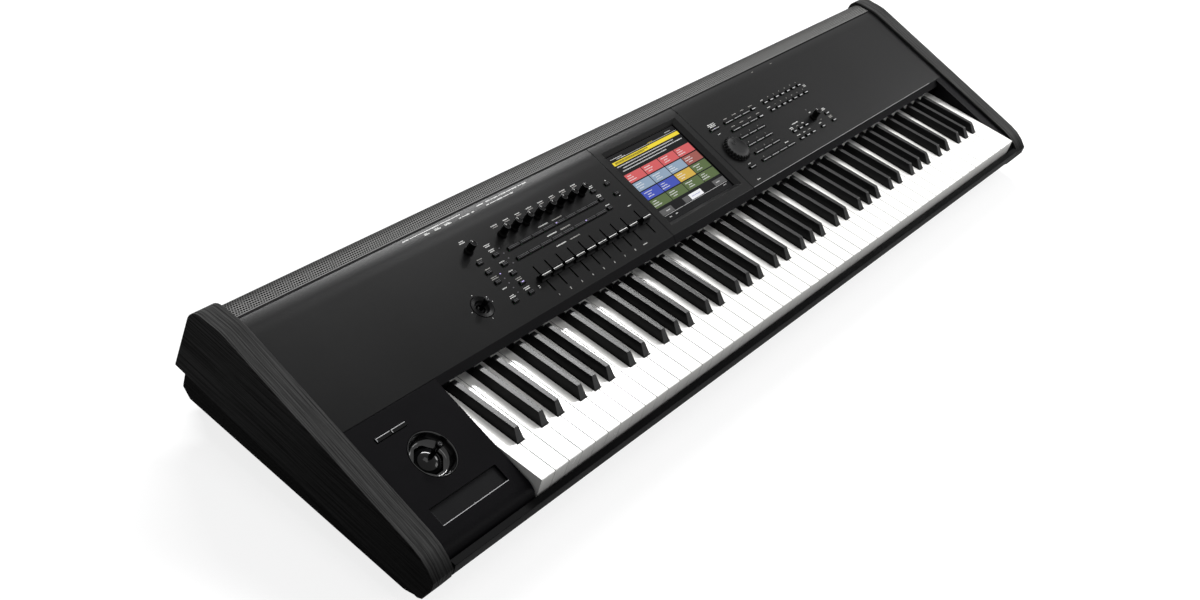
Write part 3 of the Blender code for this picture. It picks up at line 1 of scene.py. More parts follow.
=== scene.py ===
"""Looks, light and camera of the music workstation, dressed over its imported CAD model.

Meshes are in metres in the model's own frame; tables and docstrings that give sizes in mm say so.
Controls are placed in the sloping panel's frame: x along the keyboard, up the slope from the panel's
front fold, n along the panel's normal.
"""

import math

import bmesh
import bpy
from mathutils import Matrix, Vector


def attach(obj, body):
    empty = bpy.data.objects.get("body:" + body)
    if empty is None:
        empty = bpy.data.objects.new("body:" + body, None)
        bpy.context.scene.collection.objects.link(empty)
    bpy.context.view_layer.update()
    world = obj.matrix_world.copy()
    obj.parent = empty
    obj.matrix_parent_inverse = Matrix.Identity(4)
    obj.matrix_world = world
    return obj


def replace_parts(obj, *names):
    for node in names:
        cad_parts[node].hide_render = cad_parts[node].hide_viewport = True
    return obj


MM = 0.001
SLOPE = math.radians(13.9)
KEY_TOP = 75.5 * MM
KEY_FRONT = -170.5 * MM
PANEL = Matrix.Translation((0, -16.5 * MM, 100.7 * MM)) @ Matrix.Rotation(SLOPE, 4, "X")
CREST = Matrix.Translation((0, 129.75 * MM, 136.47 * MM)) @ Matrix.Rotation(math.radians(3.5), 4, "X")
PROUD = 0.05 * MM

# Places and sizes in the panel's frame, in mm: x along the keyboard, then up the slope
JOYSTICK_AT = (-623.5, -67)
VECTOR_AT = (-430.3, 42.1)
DIAL_AT = (134.3, 59.8)
RIBBON_AT = (-623.5, -122.2)
KNOBS_FROM, KNOB_STEP, KNOBS_UP = -325, 22.1, 107.5
SLIDERS_FROM, SLIDER_STEP, SLIDERS_UP = -325.4, 22, 36.7
CAP_ROWS = (27, 41.5, 56, 71, 86, 101.2)
CAP_TOP = 1.7
HOUSING_SEAMS = (-98.2, 98.2)
SEAM_WIDTH = 1.7

# Camera fitted to the photograph: metres, degrees and mm of lens
CAMERA_PLACE = (-1.6385, -0.6765, 1.1635)
CAMERA_ANGLES = (-63.23, 35.11, 18.56)
CAMERA_LENS = 47.83
CAMERA_SHIFT = (0.0249, -0.0172)
FLOOR_REACH = 9

# Name, place, aim, size and power of each lamp
LAMPS = (
    ("rear_strip", (1.6, 1.95, 2.4), (-0.3, 0.1, 0.1), (2.5, 0.36), 172),
    ("top_softbox", (-0.5, -0.1, 3.2), (0, 0, 0), (1.6, 1.2), 20),
    ("front_softbox", (1.6, -2.2, 1.4), (0, 0, 0.1), (1.2, 0.8), 20),
    ("side_softbox", (3.0, -0.7, 1.5), (0.4, 0, 0.1), (1.0, 0.9), 34),
)

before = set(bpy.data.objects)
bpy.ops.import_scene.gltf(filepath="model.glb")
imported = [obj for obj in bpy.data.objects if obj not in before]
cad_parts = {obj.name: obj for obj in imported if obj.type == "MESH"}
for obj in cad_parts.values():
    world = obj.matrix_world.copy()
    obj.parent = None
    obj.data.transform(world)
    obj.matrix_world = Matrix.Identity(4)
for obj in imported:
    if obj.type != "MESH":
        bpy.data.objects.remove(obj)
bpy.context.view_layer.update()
scene = bpy.context.scene
scene.view_settings.view_transform = "Standard"


# Camera, stage and light
def make_camera():
    turn, height, roll = (math.radians(a) for a in CAMERA_ANGLES)
    back = Vector((math.sin(turn) * math.cos(height), -math.cos(turn) * math.cos(height), math.sin(height)))
    right = (-back).cross(Vector((0, 0, 1))).normalized()
    up = right.cross(-back)
    across = right * math.cos(roll) + up * math.sin(roll)
    upward = up * math.cos(roll) - right * math.sin(roll)
    data = bpy.data.cameras.new("camera")
    data.sensor_width = 36
    data.lens = CAMERA_LENS
    data.shift_x, data.shift_y = CAMERA_SHIFT
    data.clip_end = 60
    camera = bpy.data.objects.new("camera", data)
    scene.collection.objects.link(camera)
    turned = Matrix((across, upward, back)).transposed().to_4x4()
    camera.matrix_world = Matrix.Translation(CAMERA_PLACE) @ turned
    scene.camera = camera


def add_lamp(name, place, aim, size, power):
    data = bpy.data.lights.new(name, "AREA")
    data.shape = "RECTANGLE"
    data.size, data.size_y = size
    data.energy = power
    lamp = bpy.data.objects.new(name, data)
    scene.collection.objects.link(lamp)
    lamp.location = place
    lamp.rotation_euler = (Vector(aim) - Vector(place)).to_track_quat("-Z", "Y").to_euler()


def seen_rays(nodes, links):
    """1 for rays that show the background: camera, glossy and transmission rays."""
    paths = nodes.new("ShaderNodeLightPath")
    total = paths.outputs["Is Camera Ray"]
    for name in ("Is Glossy Ray", "Is Transmission Ray"):
        highest = nodes.new("ShaderNodeMath")
        highest.operation = "MAXIMUM"
        links.new(total, highest.inputs[0])
        links.new(paths.outputs[name], highest.inputs[1])
        total = highest.outputs[0]
    return total


def make_stage():
    mesh = bpy.data.meshes.new("floor")
    corners = [(x * FLOOR_REACH, y * FLOOR_REACH, 0) for x, y in ((-1, -1), (1, -1), (1, 1), (-1, 1))]
    mesh.from_pydata(corners, [], [(0, 1, 2, 3)])
    floor = bpy.data.objects.new("floor", mesh)
    scene.collection.objects.link(floor)
    floor.data.materials.append(stage_material())
    world = bpy.data.worlds.new("studio")
    world.use_nodes = True
    nodes, links = world.node_tree.nodes, world.node_tree.links
    nodes.clear()
    seen = nodes.new("ShaderNodeBackground")
    seen.inputs["Color"].default_value = (1, 1, 1, 1)
    lit = nodes.new("ShaderNodeBackground")
    lit.inputs["Color"].default_value = (0.96, 0.98, 1, 1)
    lit.inputs["Strength"].default_value = 0.2
    mix = nodes.new("ShaderNodeMixShader")
    out = nodes.new("ShaderNodeOutputWorld")
    links.new(seen_rays(nodes, links), mix.inputs[0])
    links.new(lit.outputs[0], mix.inputs[1])
    links.new(seen.outputs[0], mix.inputs[2])
    links.new(mix.outputs[0], out.inputs[0])
    scene.world = world


def stage_material():
    material = bpy.data.materials.new("floor")
    material.use_nodes = True
    nodes, links = material.node_tree.nodes, material.node_tree.links
    shader = nodes["Principled BSDF"]
    shader.inputs["Base Color"].default_value = (0.25, 0.25, 0.25, 1)
    shader.inputs["Roughness"].default_value = 1
    shader.inputs["Specular IOR Level"].default_value = 0
    glow = nodes.new("ShaderNodeEmission")
    glow.inputs["Strength"].default_value = 0.82
    add = nodes.new("ShaderNodeAddShader")
    mix = nodes.new("ShaderNodeMixShader")
    out = nodes["Material Output"]
    links.new(shader.outputs[0], add.inputs[0])
    links.new(glow.outputs[0], add.inputs[1])
    links.new(seen_rays(nodes, links), mix.inputs[0])
    links.new(shader.outputs[0], mix.inputs[1])
    links.new(add.outputs[0], mix.inputs[2])
    links.new(mix.outputs[0], out.inputs["Surface"])
    return material


# Materials
class Paint:
    """A Principled material with helpers for its procedural detail."""

    def __init__(self, name, colour, roughness, metallic=0.0, specular=0.5, coat=0.0):
        self.material = bpy.data.materials.new(name)
        self.material.use_nodes = True
        self.nodes = self.material.node_tree.nodes
        self.links = self.material.node_tree.links
        self.shader = self.nodes["Principled BSDF"]
        self.colour = colour
        self.set("Base Color", (*colour, 1))
        self.set("Roughness", roughness)
        self.set("Metallic", metallic)
        self.set("Specular IOR Level", specular)
        self.set("Coat Weight", coat)
        self.height = None

    def set(self, socket, value):
        self.shader.inputs[socket].default_value = value

    def node(self, kind, **settings):
        made = self.nodes.new("ShaderNode" + kind)
        for name, value in settings.items():
            setattr(made, name, value)
        return made

    def feed(self, socket, value):
        if isinstance(value, bpy.types.NodeSocket):
            self.links.new(value, socket)
        else:
            socket.default_value = value

    def math(self, operation, first, second=0.0, third=0.0):
        made = self.node("Math", operation=operation)
        for socket, value in zip(made.inputs, (first, second, third)):
            self.feed(socket, value)
        return made.outputs[0]

    def place(self):
        return self.node("TexCoord").outputs["Object"]

    def split(self, vector):
        made = self.node("SeparateXYZ")
        self.feed(made.inputs[0], vector)
        return made.outputs

    def join(self, x, y, z):
        made = self.node("CombineXYZ")
        for socket, value in zip(made.inputs, (x, y, z)):
            self.feed(socket, value)
        return made.outputs[0]

    def noise(self, vector, scale, detail=3.0, roughness=0.55):
        made = self.node("TexNoise")
        self.feed(made.inputs["Vector"], vector)
        self.feed(made.inputs["Scale"], scale)
        self.feed(made.inputs["Detail"], detail)
        self.feed(made.inputs["Roughness"], roughness)
        return made.outputs[0]

    def span(self, value, low, high, out_low=0.0, out_high=1.0):
        made = self.node("MapRange")
        for socket, number in zip(made.inputs, (value, low, high, out_low, out_high)):
            self.feed(socket, number)
        return made.outputs[0]

    def shade(self, factor, dark, light):
        """Base colour runs between the material's colour times dark and times light."""
        made = self.node("Mix", data_type="RGBA")
        self.feed(made.inputs[0], factor)
        self.feed(made.inputs[6], (*(c * dark for c in self.colour), 1))
        self.feed(made.inputs[7], (*(c * light for c in self.colour), 1))
        self.links.new(made.outputs[2], self.shader.inputs["Base Color"])
        return made.outputs[2]

    def rough(self, factor, low, high):
        self.links.new(self.span(factor, 0, 1, low, high), self.shader.inputs["Roughness"])

    def bump(self, height, distance, strength=1.0):
        made = self.node("Bump")
        self.feed(made.inputs["Strength"], strength)
        self.feed(made.inputs["Distance"], distance)
        self.links.new(height, made.inputs["Height"])
        if self.height is not None:
            self.links.new(self.height, made.inputs["Normal"])
        self.height = made.outputs[0]
        self.links.new(self.height, self.shader.inputs["Normal"])


def plastic(name, colour, roughness, grain=900.0, depth=0.04, coat=0.0, specular=0.5):
    """Moulded plastic or rubber: a fine grain, with slow changes in sheen and tone from handling."""
    paint = Paint(name, colour, roughness, coat=coat, specular=specular)
    place = paint.place()
    paint.bump(paint.noise(place, grain, 2), depth * MM, 0.6)
    wear = paint.noise(place, 14, 5, 0.6)
    paint.rough(wear, roughness * 0.82, roughness * 1.2)
    paint.shade(wear, 0.85, 1.15)
    return paint.material


def speckled_metal():
    """Powder coated sheet: charcoal with a pin-point speckle, an uneven sheen and a softened crest."""
    paint = Paint("charcoal_sheet", (0.003, 0.003, 0.0031), 0.3, specular=0.074)
    place = paint.place()
    fine = paint.noise(place, 1500, 2, 0.7)
    fleck = paint.span(fine, 0.58, 0.7)
    cloud = paint.noise(place, 6, 4)
    paint.shade(paint.math("MULTIPLY_ADD", fleck, 0.5, paint.math("MULTIPLY", cloud, 0.4)), 0.8, 1.9)
    sheen = paint.math("ADD", paint.math("MULTIPLY", fine, 0.5), paint.math("MULTIPLY", cloud, 0.5))
    paint.rough(sheen, 0.25, 0.36)
    y = paint.split(place)[1]
    across = paint.span(y, 111 * MM, 139 * MM)
    valley = paint.math("SINE", paint.math("MULTIPLY", across, math.pi))
    easing = paint.math("MULTIPLY", paint.math("POWER", valley, 2.0), -0.2 * MM)
    height = paint.math("MULTIPLY_ADD", fine, 0.02 * MM, easing)
    paint.bump(height, 1.0, 1)
    return paint.material


def grille_metal():
    """Lighter coat over a sheet with rows of staggered holes, with painted shade where it turns down at the
    rear.
    """
    paint = Paint("perforated_sheet", (0.15, 0.149, 0.146), 0.36, specular=0.03)
    x, y, z = paint.split(paint.place())
    along = paint.math("SUBTRACT", y, z)
    far = []
    pitch, row = 3.4 * MM, 2.95 * MM
    for shift in (0.0, 0.5):
        u = paint.math("FRACT", paint.math("MULTIPLY_ADD", x, 1 / pitch, 50.25 + shift))
        v = paint.math("FRACT", paint.math("MULTIPLY_ADD", along, 0.5 / row, 20.1 + shift))
        across = paint.math("MULTIPLY", paint.math("SUBTRACT", u, 0.5), pitch)
        ahead = paint.math("MULTIPLY", paint.math("SUBTRACT", v, 0.5), 2 * row)
        squared = paint.math("ADD", paint.math("POWER", across, 2.0), paint.math("POWER", ahead, 2.0))
        far.append(paint.math("SQRT", squared))
    near = paint.math("MINIMUM", *far)
    hole = paint.span(near, 1.1 * MM, 1.25 * MM, 1, 0)
    hole = paint.math("MULTIPLY", hole, paint.span(y, 141.6 * MM, 141.9 * MM))
    hole = paint.math("MULTIPLY", hole, paint.span(z, 97 * MM, 98 * MM))
    # Painted shade where the sheet turns down at the rear.
    turned = paint.span(y, 152 * MM, 163 * MM, 1.0, 0.3)
    paint.shade(paint.math("MULTIPLY", paint.math("SUBTRACT", 1.0, hole), turned), 0.02, 1)
    paint.rough(hole, 0.36, 1)
    paint.bump(hole, -0.6 * MM, 1)
    paint.bump(paint.noise(paint.place(), 1500, 2, 0.7), 0.03 * MM, 0.6)
    return paint.material


def stained_wood():
    """Black stained ash: long open pores that run the board's length on its top and its sides; painted shade
    darkens the sides, the front nose and the inset base.
    """
    paint = Paint("black_ash", (0.043, 0.0428, 0.0425), 0.36, specular=0.008)
    x, y, z = paint.split(paint.place())
    tilt = math.radians(5)
    length = paint.math("MULTIPLY_ADD", y, math.cos(tilt), paint.math("MULTIPLY", z, math.sin(tilt)))
    depth = paint.math("MULTIPLY_ADD", z, math.cos(tilt), paint.math("MULTIPLY", y, -math.sin(tilt)))
    side = paint.math("ABSOLUTE", paint.split(paint.node("NewGeometry").outputs["Normal"])[0])
    side = paint.math("GREATER_THAN", side, 0.6)
    layer = paint.math(
        "ADD",
        paint.math("MULTIPLY", depth, side),
        paint.math("MULTIPLY", x, paint.math("SUBTRACT", 1.0, side)),
    )
    drift = paint.join(layer, paint.math("MULTIPLY", length, 0.4), 0.0)
    waver = paint.math("MULTIPLY", paint.noise(drift, 9, 2), 5 * MM)
    layer = paint.math("ADD", layer, waver)
    grain = paint.join(paint.math("MULTIPLY", layer, 620.0), paint.math("MULTIPLY", length, 9.0), side)
    fine = paint.join(paint.math("MULTIPLY", layer, 1300.0), paint.math("MULTIPLY", length, 26.0), side)
    broad = paint.noise(grain, 1, 4, 0.6)
    pores = paint.span(paint.noise(fine, 1, 2, 0.5), 0.6, 0.72)
    band = paint.span(broad, 0.38, 0.6)
    # Painted shade: the inset base under the seam, the sides towards the front and the front nose are
    # darkened.
    seam = paint.math("MULTIPLY_ADD", y, 0.1151, 40.7 * MM)
    base_painted_shade = paint.math("MULTIPLY", paint.math("LESS_THAN", z, seam), side)
    forward = paint.span(y, -170 * MM, 120 * MM, 1.0, 0.0)
    side_painted_shade = paint.math("MULTIPLY", side, paint.math("MULTIPLY_ADD", forward, 0.5, 0.3))
    nose_painted_shade = paint.math("MULTIPLY", paint.span(y, -178 * MM, -158 * MM, 1.0, 0.0), 0.7)
    dark = paint.math("MAXIMUM", paint.math("MAXIMUM", side_painted_shade, nose_painted_shade), paint.math("MULTIPLY", base_painted_shade, 0.86))
    shade = paint.math("SUBTRACT", 1.0, dark)
    tone = paint.math("MULTIPLY", band, paint.math("SUBTRACT", 1.0, pores))
    paint.shade(paint.math("MULTIPLY", paint.math("MULTIPLY_ADD", tone, 0.65, 0.35), shade), 0.0, 1.25)
    paint.rough(band, 0.62, 0.42)
    paint.bump(paint.math("SUBTRACT", band, pores), 0.12 * MM, 0.8)
    return paint.material


def key_white():
    """Ivory white key tops: glossy and faintly mottled, with painted shade that greys them at the foot and
    darkens them between two keys.
    """
    paint = Paint("key_white", (0.82, 0.81, 0.785), 0.24, specular=0.4, coat=0.1)
    paint.set("Coat Roughness", 0.12)
    place = paint.place()
    wear = paint.noise(place, 22, 5, 0.6)
    x, _, z = paint.split(place)
    # Painted shade: the key greys towards its foot.
    foot = paint.span(z, 50 * MM, 73 * MM, 0.0, 1.0)
    tone = paint.math("MULTIPLY_ADD", wear, 0.25, paint.math("MULTIPLY", foot, 0.75))
    # Painted shade on the upper side walls, in the gaps between two keys.
    sideways = paint.math("ABSOLUTE", paint.split(paint.node("NewGeometry").outputs["Normal"])[0])
    inner = paint.span(x, -551 * MM, -549 * MM)
    between = paint.math("MULTIPLY", paint.math("GREATER_THAN", sideways, 0.8), inner)
    between = paint.math("MULTIPLY", between, paint.span(x, 667 * MM, 669 * MM, 1.0, 0.0))
    between = paint.math("MULTIPLY", between, paint.span(z, 72 * MM, 74 * MM))
    shade = paint.math("SUBTRACT", 1.0, paint.math("MULTIPLY", between, 0.7))
    paint.shade(paint.math("MULTIPLY", paint.math("MULTIPLY_ADD", tone, 0.3, 0.7), shade), 0.0, 1.03)
    paint.rough(wear, 0.18, 0.32)
    paint.bump(paint.noise(place, 500, 2), 0.01 * MM, 0.5)
    return paint.material


def plain(name, colour, roughness, metallic=0.0):
    """Metal or board with a fine brushed unevenness."""
    paint = Paint(name, colour, roughness, metallic)
    grain = paint.noise(paint.place(), 260, 4)
    paint.shade(grain, 0.85, 1.12)
    paint.rough(grain, roughness * 0.8, roughness * 1.25)
    paint.bump(grain, 0.02 * MM, 0.5)
    return paint.material


def glow(name, colour, strength):
    """A lit surface under clear plastic."""
    paint = Paint(name, tuple(c * 0.05 for c in colour), 0.3, specular=0.05)
    paint.set("Emission Color", (*colour, 1))
    paint.set("Emission Strength", strength)
    return paint.material


MATERIALS = {
    "sheet": speckled_metal(),
    "grille": grille_metal(),
    "wood": stained_wood(),
    "white": key_white(),
    "sharp": plastic("key_black", (0.005, 0.005, 0.0052), 0.3, 700, 0.03, specular=0.14),
    "case": plastic("case_black", (0.0045, 0.0045, 0.0047), 0.5, 800, 0.06, specular=0.012),
    "satin": plastic("satin_black", (0.0036, 0.0034, 0.004), 0.4, 1200, 0.02, specular=0.02),
    "gloss": plastic("gloss_black", (0.002, 0.002, 0.0023), 0.09, 300, 0.003, specular=0.16),
    "cap": plastic("cap_black", (0.0028, 0.0028, 0.003), 0.35, 900, 0.03, specular=0.04),
    "rubber": plastic("rubber_black", (0.0022, 0.0022, 0.0022), 0.4, 900, 0.05, specular=0.03),
    "bowl": plastic("bowl_gloss", (0.002, 0.002, 0.0023), 0.1, 300, 0.003, coat=0.12, specular=0.4),
    "pad": plastic("strip_black", (0.0085, 0.0085, 0.009), 0.4, 1200, 0.02, specular=0.03),
    "wheel": plastic("wheel_rubber", (0.006, 0.006, 0.0062), 0.4, 900, 0.03, specular=0.08),
    # Light greys that paint highlights on rims, ridges and edges.
    "edge": plastic("painted_highlight_edge", (0.065, 0.065, 0.068), 0.4, 900, 0.01, specular=0.2),
    "mid_edge": plastic("painted_highlight_grey", (0.24, 0.24, 0.242), 0.4, 900, 0.01, specular=0.2),
    "bright_edge": plastic("painted_highlight_pale", (0.42, 0.42, 0.425), 0.4, 900, 0.01, specular=0.2),
    "steel": plain("plated_steel", (0.42, 0.42, 0.43), 0.35, 1.0),
    "board": plain("circuit_board", (0.015, 0.09, 0.035), 0.45),
    "nickel": plain("nickel", (0.55, 0.54, 0.52), 0.28, 1.0),
    "glass": plastic("screen_glass", (0.004, 0.004, 0.005), 0.1, 200, 0.002, specular=0.06),
    "ink": plastic("white_ink", (0.72, 0.72, 0.7), 0.5, 2000, 0.01),
    "dim_ink": plastic("grey_ink", (0.3, 0.29, 0.27), 0.5, 2000, 0.01),
    "lamp": glow("lit_lamp", (0.6, 0.5, 1.0), 1.1),
    "dark_lamp": plastic("unlit_lamp", (0.05, 0.045, 0.055), 0.3, 900, 0.01),
}


# Pieces
def finish(obj, look, body="body", smooth=35, bevel=0.0):
    """Links a made piece, gives it its finish and lets it ride on its body."""
    scene.collection.objects.link(obj)
    if look:
        obj.data.materials.append(MATERIALS[look])
    obj.data.shade_smooth()
    obj.data.set_sharp_from_angle(angle=math.radians(smooth))
    if bevel:
        round_edges(obj, bevel)
    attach(obj, body)
    return obj


def round_edges(obj, width, segments=2, angle=40):
    modifier = obj.modifiers.new("edges", "BEVEL")
    modifier.width = width
    modifier.segments = segments
    modifier.limit_method = "ANGLE"
    modifier.angle_limit = math.radians(angle)
    modifier.harden_normals = True


def even_shading(obj):
    """Flat faces keep their own normal and only the narrow faces between them blend."""
    modifier = obj.modifiers.new("shading", "WEIGHTED_NORMAL")
    modifier.weight = 90
    modifier.keep_sharp = True


def from_bmesh(name, bm, matrix=None):
    bmesh.ops.recalc_face_normals(bm, faces=bm.faces)
    mesh = bpy.data.meshes.new(name)
    bm.to_mesh(mesh)
    bm.free()
    obj = bpy.data.objects.new(name, mesh)
    if matrix:
        obj.matrix_world = matrix
    return obj


def bars(name, spans, matrix=PANEL):
    """One mesh of thin bars, each (x, up, width, depth, n_low, n_high) about its middle."""
    bm = bmesh.new()
    for x, up, width, depth, low, high in spans:
        middle = Vector((x, up, (low + high) / 2))
        placed = Matrix.LocRotScale(middle, None, (width, depth, high - low))
        bmesh.ops.create_cube(bm, size=1, matrix=placed)
    return from_bmesh(name, bm, matrix)


def in_mm(*rows):
    """Rows of millimetres, in metres."""
    return [tuple(value * MM for value in row) for row in rows]


def bridge(bm, loops):
    """Joins each loop of vertices to the next with faces."""
    for low, high in zip(loops, loops[1:]):
        for i in range(len(low)):
            j = (i + 1) % len(low)
            bm.faces.new((low[i], low[j], high[j], high[i]))


def lathe(name, rings, segments, matrix, flutes=0):
    """A turned solid from (radius, height, flute depth) rings. Its ends close on the axis."""
    bm = bmesh.new()
    loops = []
    for radius, height, depth in rings:
        loop = []
        for i in range(segments):
            angle = math.tau * i / segments
            reach = radius - depth * (0.5 - 0.5 * math.cos(flutes * angle))
            loop.append(bm.verts.new((reach * math.cos(angle), reach * math.sin(angle), height)))
        loops.append(loop)
    bridge(bm, loops)
    bm.faces.new(loops[0])
    bm.faces.new(loops[-1])
    return from_bmesh(name, bm, matrix)


def tube_ring(name, rings, segments, matrix):
    """A turned ring or bowl whose section is the closed (radius, height) outline."""
    bm = bmesh.new()
    loops = []
    for radius, height in rings:
        turn = [math.tau * i / segments for i in range(segments)]
        loops.append([bm.verts.new((radius * math.cos(a), radius * math.sin(a), height)) for a in turn])
    bridge(bm, loops + loops[:1])
    return from_bmesh(name, bm, matrix)


def panel_at(x, up, n=0.0):
    """The panel's frame moved to a place on it, given in mm."""
    return PANEL @ Matrix.Translation((x * MM, up * MM, n * MM))


def dress(node, look, bevel=0.0, segments=2, rules=()):
    """Gives a CAD node its finish. Each rule is (look, test of a face's middle)."""
    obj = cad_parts[node]
    names = [look] + [rule[0] for rule in rules]
    obj.data.materials.clear()
    for name in names:
        obj.data.materials.append(MATERIALS[name])
    for face in obj.data.polygons:
        face.material_index = 0
        for index, (_, test) in enumerate(rules):
            if test(face.center):
                face.material_index = index + 1
    obj.data.polygons.foreach_set("use_smooth", [True] * len(obj.data.polygons))
    stored = obj.data.attributes.get("custom_normal")
    if stored:
        obj.data.attributes.remove(stored)
    weld = obj.modifiers.new("weld", "WELD")
    weld.merge_threshold = 0.005 * MM
    round_edges(obj, bevel or 0.1 * MM, segments, 30)
    even_shading(obj)


def over_panel(point):
    """Height of a point over the sloping panel's plane."""
    return (PANEL.inverted() @ point).z


def dress_nodes():
    key_low = KEY_TOP - 21 * MM
    lip = [("satin", lambda c: over_panel(c) < -1 * MM and c.y < -16.6 * MM)]
    buttons = [("cap", lambda c: over_panel(c) > -8 * MM)]
    sharps = [("sharp", lambda c: c.z > KEY_TOP - 17.5 * MM)]
    for name in ("cheek_left", "cheek_right"):
        dress(name, "wood", 0.8 * MM)
    for name in ("top_panel_left", "top_panel_right", "display_housing"):
        dress(name, "sheet", 0.35 * MM, rules=lip)
    dress("rear_grille", "grille")
    dress("bottom_case", "case", 0.4 * MM, rules=[("rubber", lambda c: c.z < 13 * MM)])
    dress("rear_panel", "case")
    dress("joystick_panel", "satin", 0.5 * MM)
    dress("right_key_block", "satin", 0.6 * MM)
    dress("ribbon_controller", "pad", 0.3 * MM)
    dress("touch_screen", "glass")
    dress("left_control_board", "board", 0.25 * MM, rules=buttons)
    dress("right_control_board", "board", 0.25 * MM, rules=buttons)
    dress("main_board", "board", rules=[("cap", lambda c: c.y > 143 * MM)])
    dress("power_supply", "steel", rules=[("cap", lambda c: c.y > 167 * MM)])
    dress("power_switch", "cap", 0.4 * MM)
    key = [("white", lambda c: c.z > key_low or c.y < KEY_FRONT + 12.4 * MM)]
    dress("keybed_with_natural_keys", "steel", 0.45 * MM, rules=key)
    dress("hinge_rail_with_sharp_keys", "steel", 0.5 * MM, rules=sharps)
    for name in "CDEFGAB":
        dress(f"key_{name}4", "white", 0.45 * MM)
    for name in "CDFGA":
        dress(f"key_{name}sharp4", "sharp", 0.5 * MM)
    for name in ("joystick_yoke", "vector_joystick_yoke"):
        dress(name, "cap")
    for side in (1, 2):
        dress(f"joystick_switch_{side}", "cap", 0.5 * MM)


KNOBS = [(f"control_knob_{i + 1}", KNOBS_FROM + KNOB_STEP * i, KNOBS_UP) for i in range(8)]
KNOBS += [("volume_knob", -385.5, 107.9), ("tempo_knob", 330.3, 45.3)]
SLIDERS = [(f"control_slider_{i + 1}", SLIDERS_FROM + SLIDER_STEP * i) for i in range(8)]
SLIDERS += [("master_slider", -149.4), ("value_slider", -119.8)]


def scaled(rings, flute=0.0):
    """Rings for lathe from (radius, height) in mm, all with one flute depth."""
    return [(radius * MM, height * MM, flute * MM) for radius, height in rings]


def make_knobs():
    """Rubber knobs with a skirt, a fluted grip, a thin rim painted light as a highlight and a white pointer.
    """
    skirt = [(3, -9.7), (3, 0.6), (5.8, 0.6), (6.0, 1.0), (5.9, 2.0), (5.3, 3.2), (4.7, 4.0)]
    grip = [(4.75, 4.6), (4.7, 8), (4.55, 12), (4.4, 14.4)]
    top = [(4.2, 15.0), (3.9, 15.3), (3.5, 15.3), (3.3, 15.0), (0.4, 14.95)]
    for node, x, up in KNOBS:
        at = panel_at(x, up)
        rings = scaled(skirt) + scaled(grip, 0.35) + scaled(top)
        knob = finish(lathe(node + "_grip", rings, 72, at, 18), "rubber", node, 30)
        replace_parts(knob, node)
        # The light rim is a painted highlight.
        rim = in_mm((3.7, 15.2), (4.0, 15.15), (3.95, 15.35), (3.75, 15.4))
        finish(tube_ring(node + "_rim", rim, 48, at), "edge", node)
        marks = in_mm((0, 2.5, 0.7, 2.0, 14.98, 15.3), (0, 4.62, 0.8, 0.4, 9, 14.6))
        finish(bars(node + "_pointer", marks, at), "ink", node)


def make_dial():
    """The value dial: a low scalloped wheel with a smooth dished top and a finger dimple."""
    at = panel_at(*DIAL_AT)
    rings = scaled([(3, -9), (3, 0.5), (20.2, 0.5)]) + scaled([(20.6, 1.2), (20.3, 3.4), (19.4, 5.1)], 2.2)
    rings += scaled([(18.6, 5.8)], 1.6) + scaled([(16.2, 6.0), (15.3, 5.6), (9, 5.1), (0.5, 5.0)])
    wheel = finish(lathe("dial_wheel", rings, 192, at, 24), "wheel", "data_dial", 35)
    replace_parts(wheel, "data_dial")
    dimple = in_mm((3.2, 5.05), (4.6, 5.05), (4.4, 5.4), (3.4, 5.4))
    place = at @ Matrix.Translation((0, 9.6 * MM, 0))
    finish(tube_ring("dial_dimple", dimple, 40, place), "wheel", "data_dial")


def make_sliders():
    """Slider caps with a waisted section, a stem through the slot and a white line."""
    half = [(4.7, 0.6), (4.7, 1.5), (3.5, 2.4), (2.7, 4.2), (2.5, 7.2), (2.8, 8.6), (2.4, 9.05), (0.9, 8.75)]
    outline = half + [(-a, b) for a, b in half[::-1]]
    sides = (-8.25 * MM, 8.25 * MM)
    for node, x in SLIDERS:
        bm = bmesh.new()
        ends = [[bm.verts.new((side, u * MM, n * MM)) for u, n in outline] for side in sides]
        bridge(bm, ends)
        for end in ends:
            bm.faces.new(end)
        stem = Matrix.LocRotScale((0, 0, -4.4 * MM), None, (1.2 * MM, 4 * MM, 10.6 * MM))
        bmesh.ops.create_cube(bm, size=1, matrix=stem)
        at = panel_at(x, SLIDERS_UP)
        cap = finish(from_bmesh(node + "_cap", bm, at), "cap", node, 30, 0.25 * MM)
        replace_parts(cap, node)
        line = bars(node + "_line", in_mm((0, 0, 16.1, 0.8, 8.6, 8.8)), at)
        finish(line, "ink", node)


def opening_radius(angle, size, corners):
    """Reach of a round edge or, with corners near 1, of a square edge with its corners cut."""
    square = size / max(abs(math.cos(angle)), abs(math.sin(angle)))
    cut = size * 1.3 / (abs(math.cos(angle)) + abs(math.sin(angle)))
    return size + corners * (min(square, cut, size * 1.12) - size)


def turned_cup(name, rings, segments, matrix):
    """A ring whose section is the closed (reach, height, corners) outline, in mm."""
    bm = bmesh.new()
    loops = []
    for size, height, corners in rings:
        loop = []
        for i in range(segments):
            angle = math.tau * i / segments
            reach = opening_radius(angle, size, corners) * MM
            loop.append(bm.verts.new((reach * math.cos(angle), reach * math.sin(angle), height * MM)))
        loops.append(loop)
    bridge(bm, loops + loops[:1])
    return from_bmesh(name, bm, matrix)


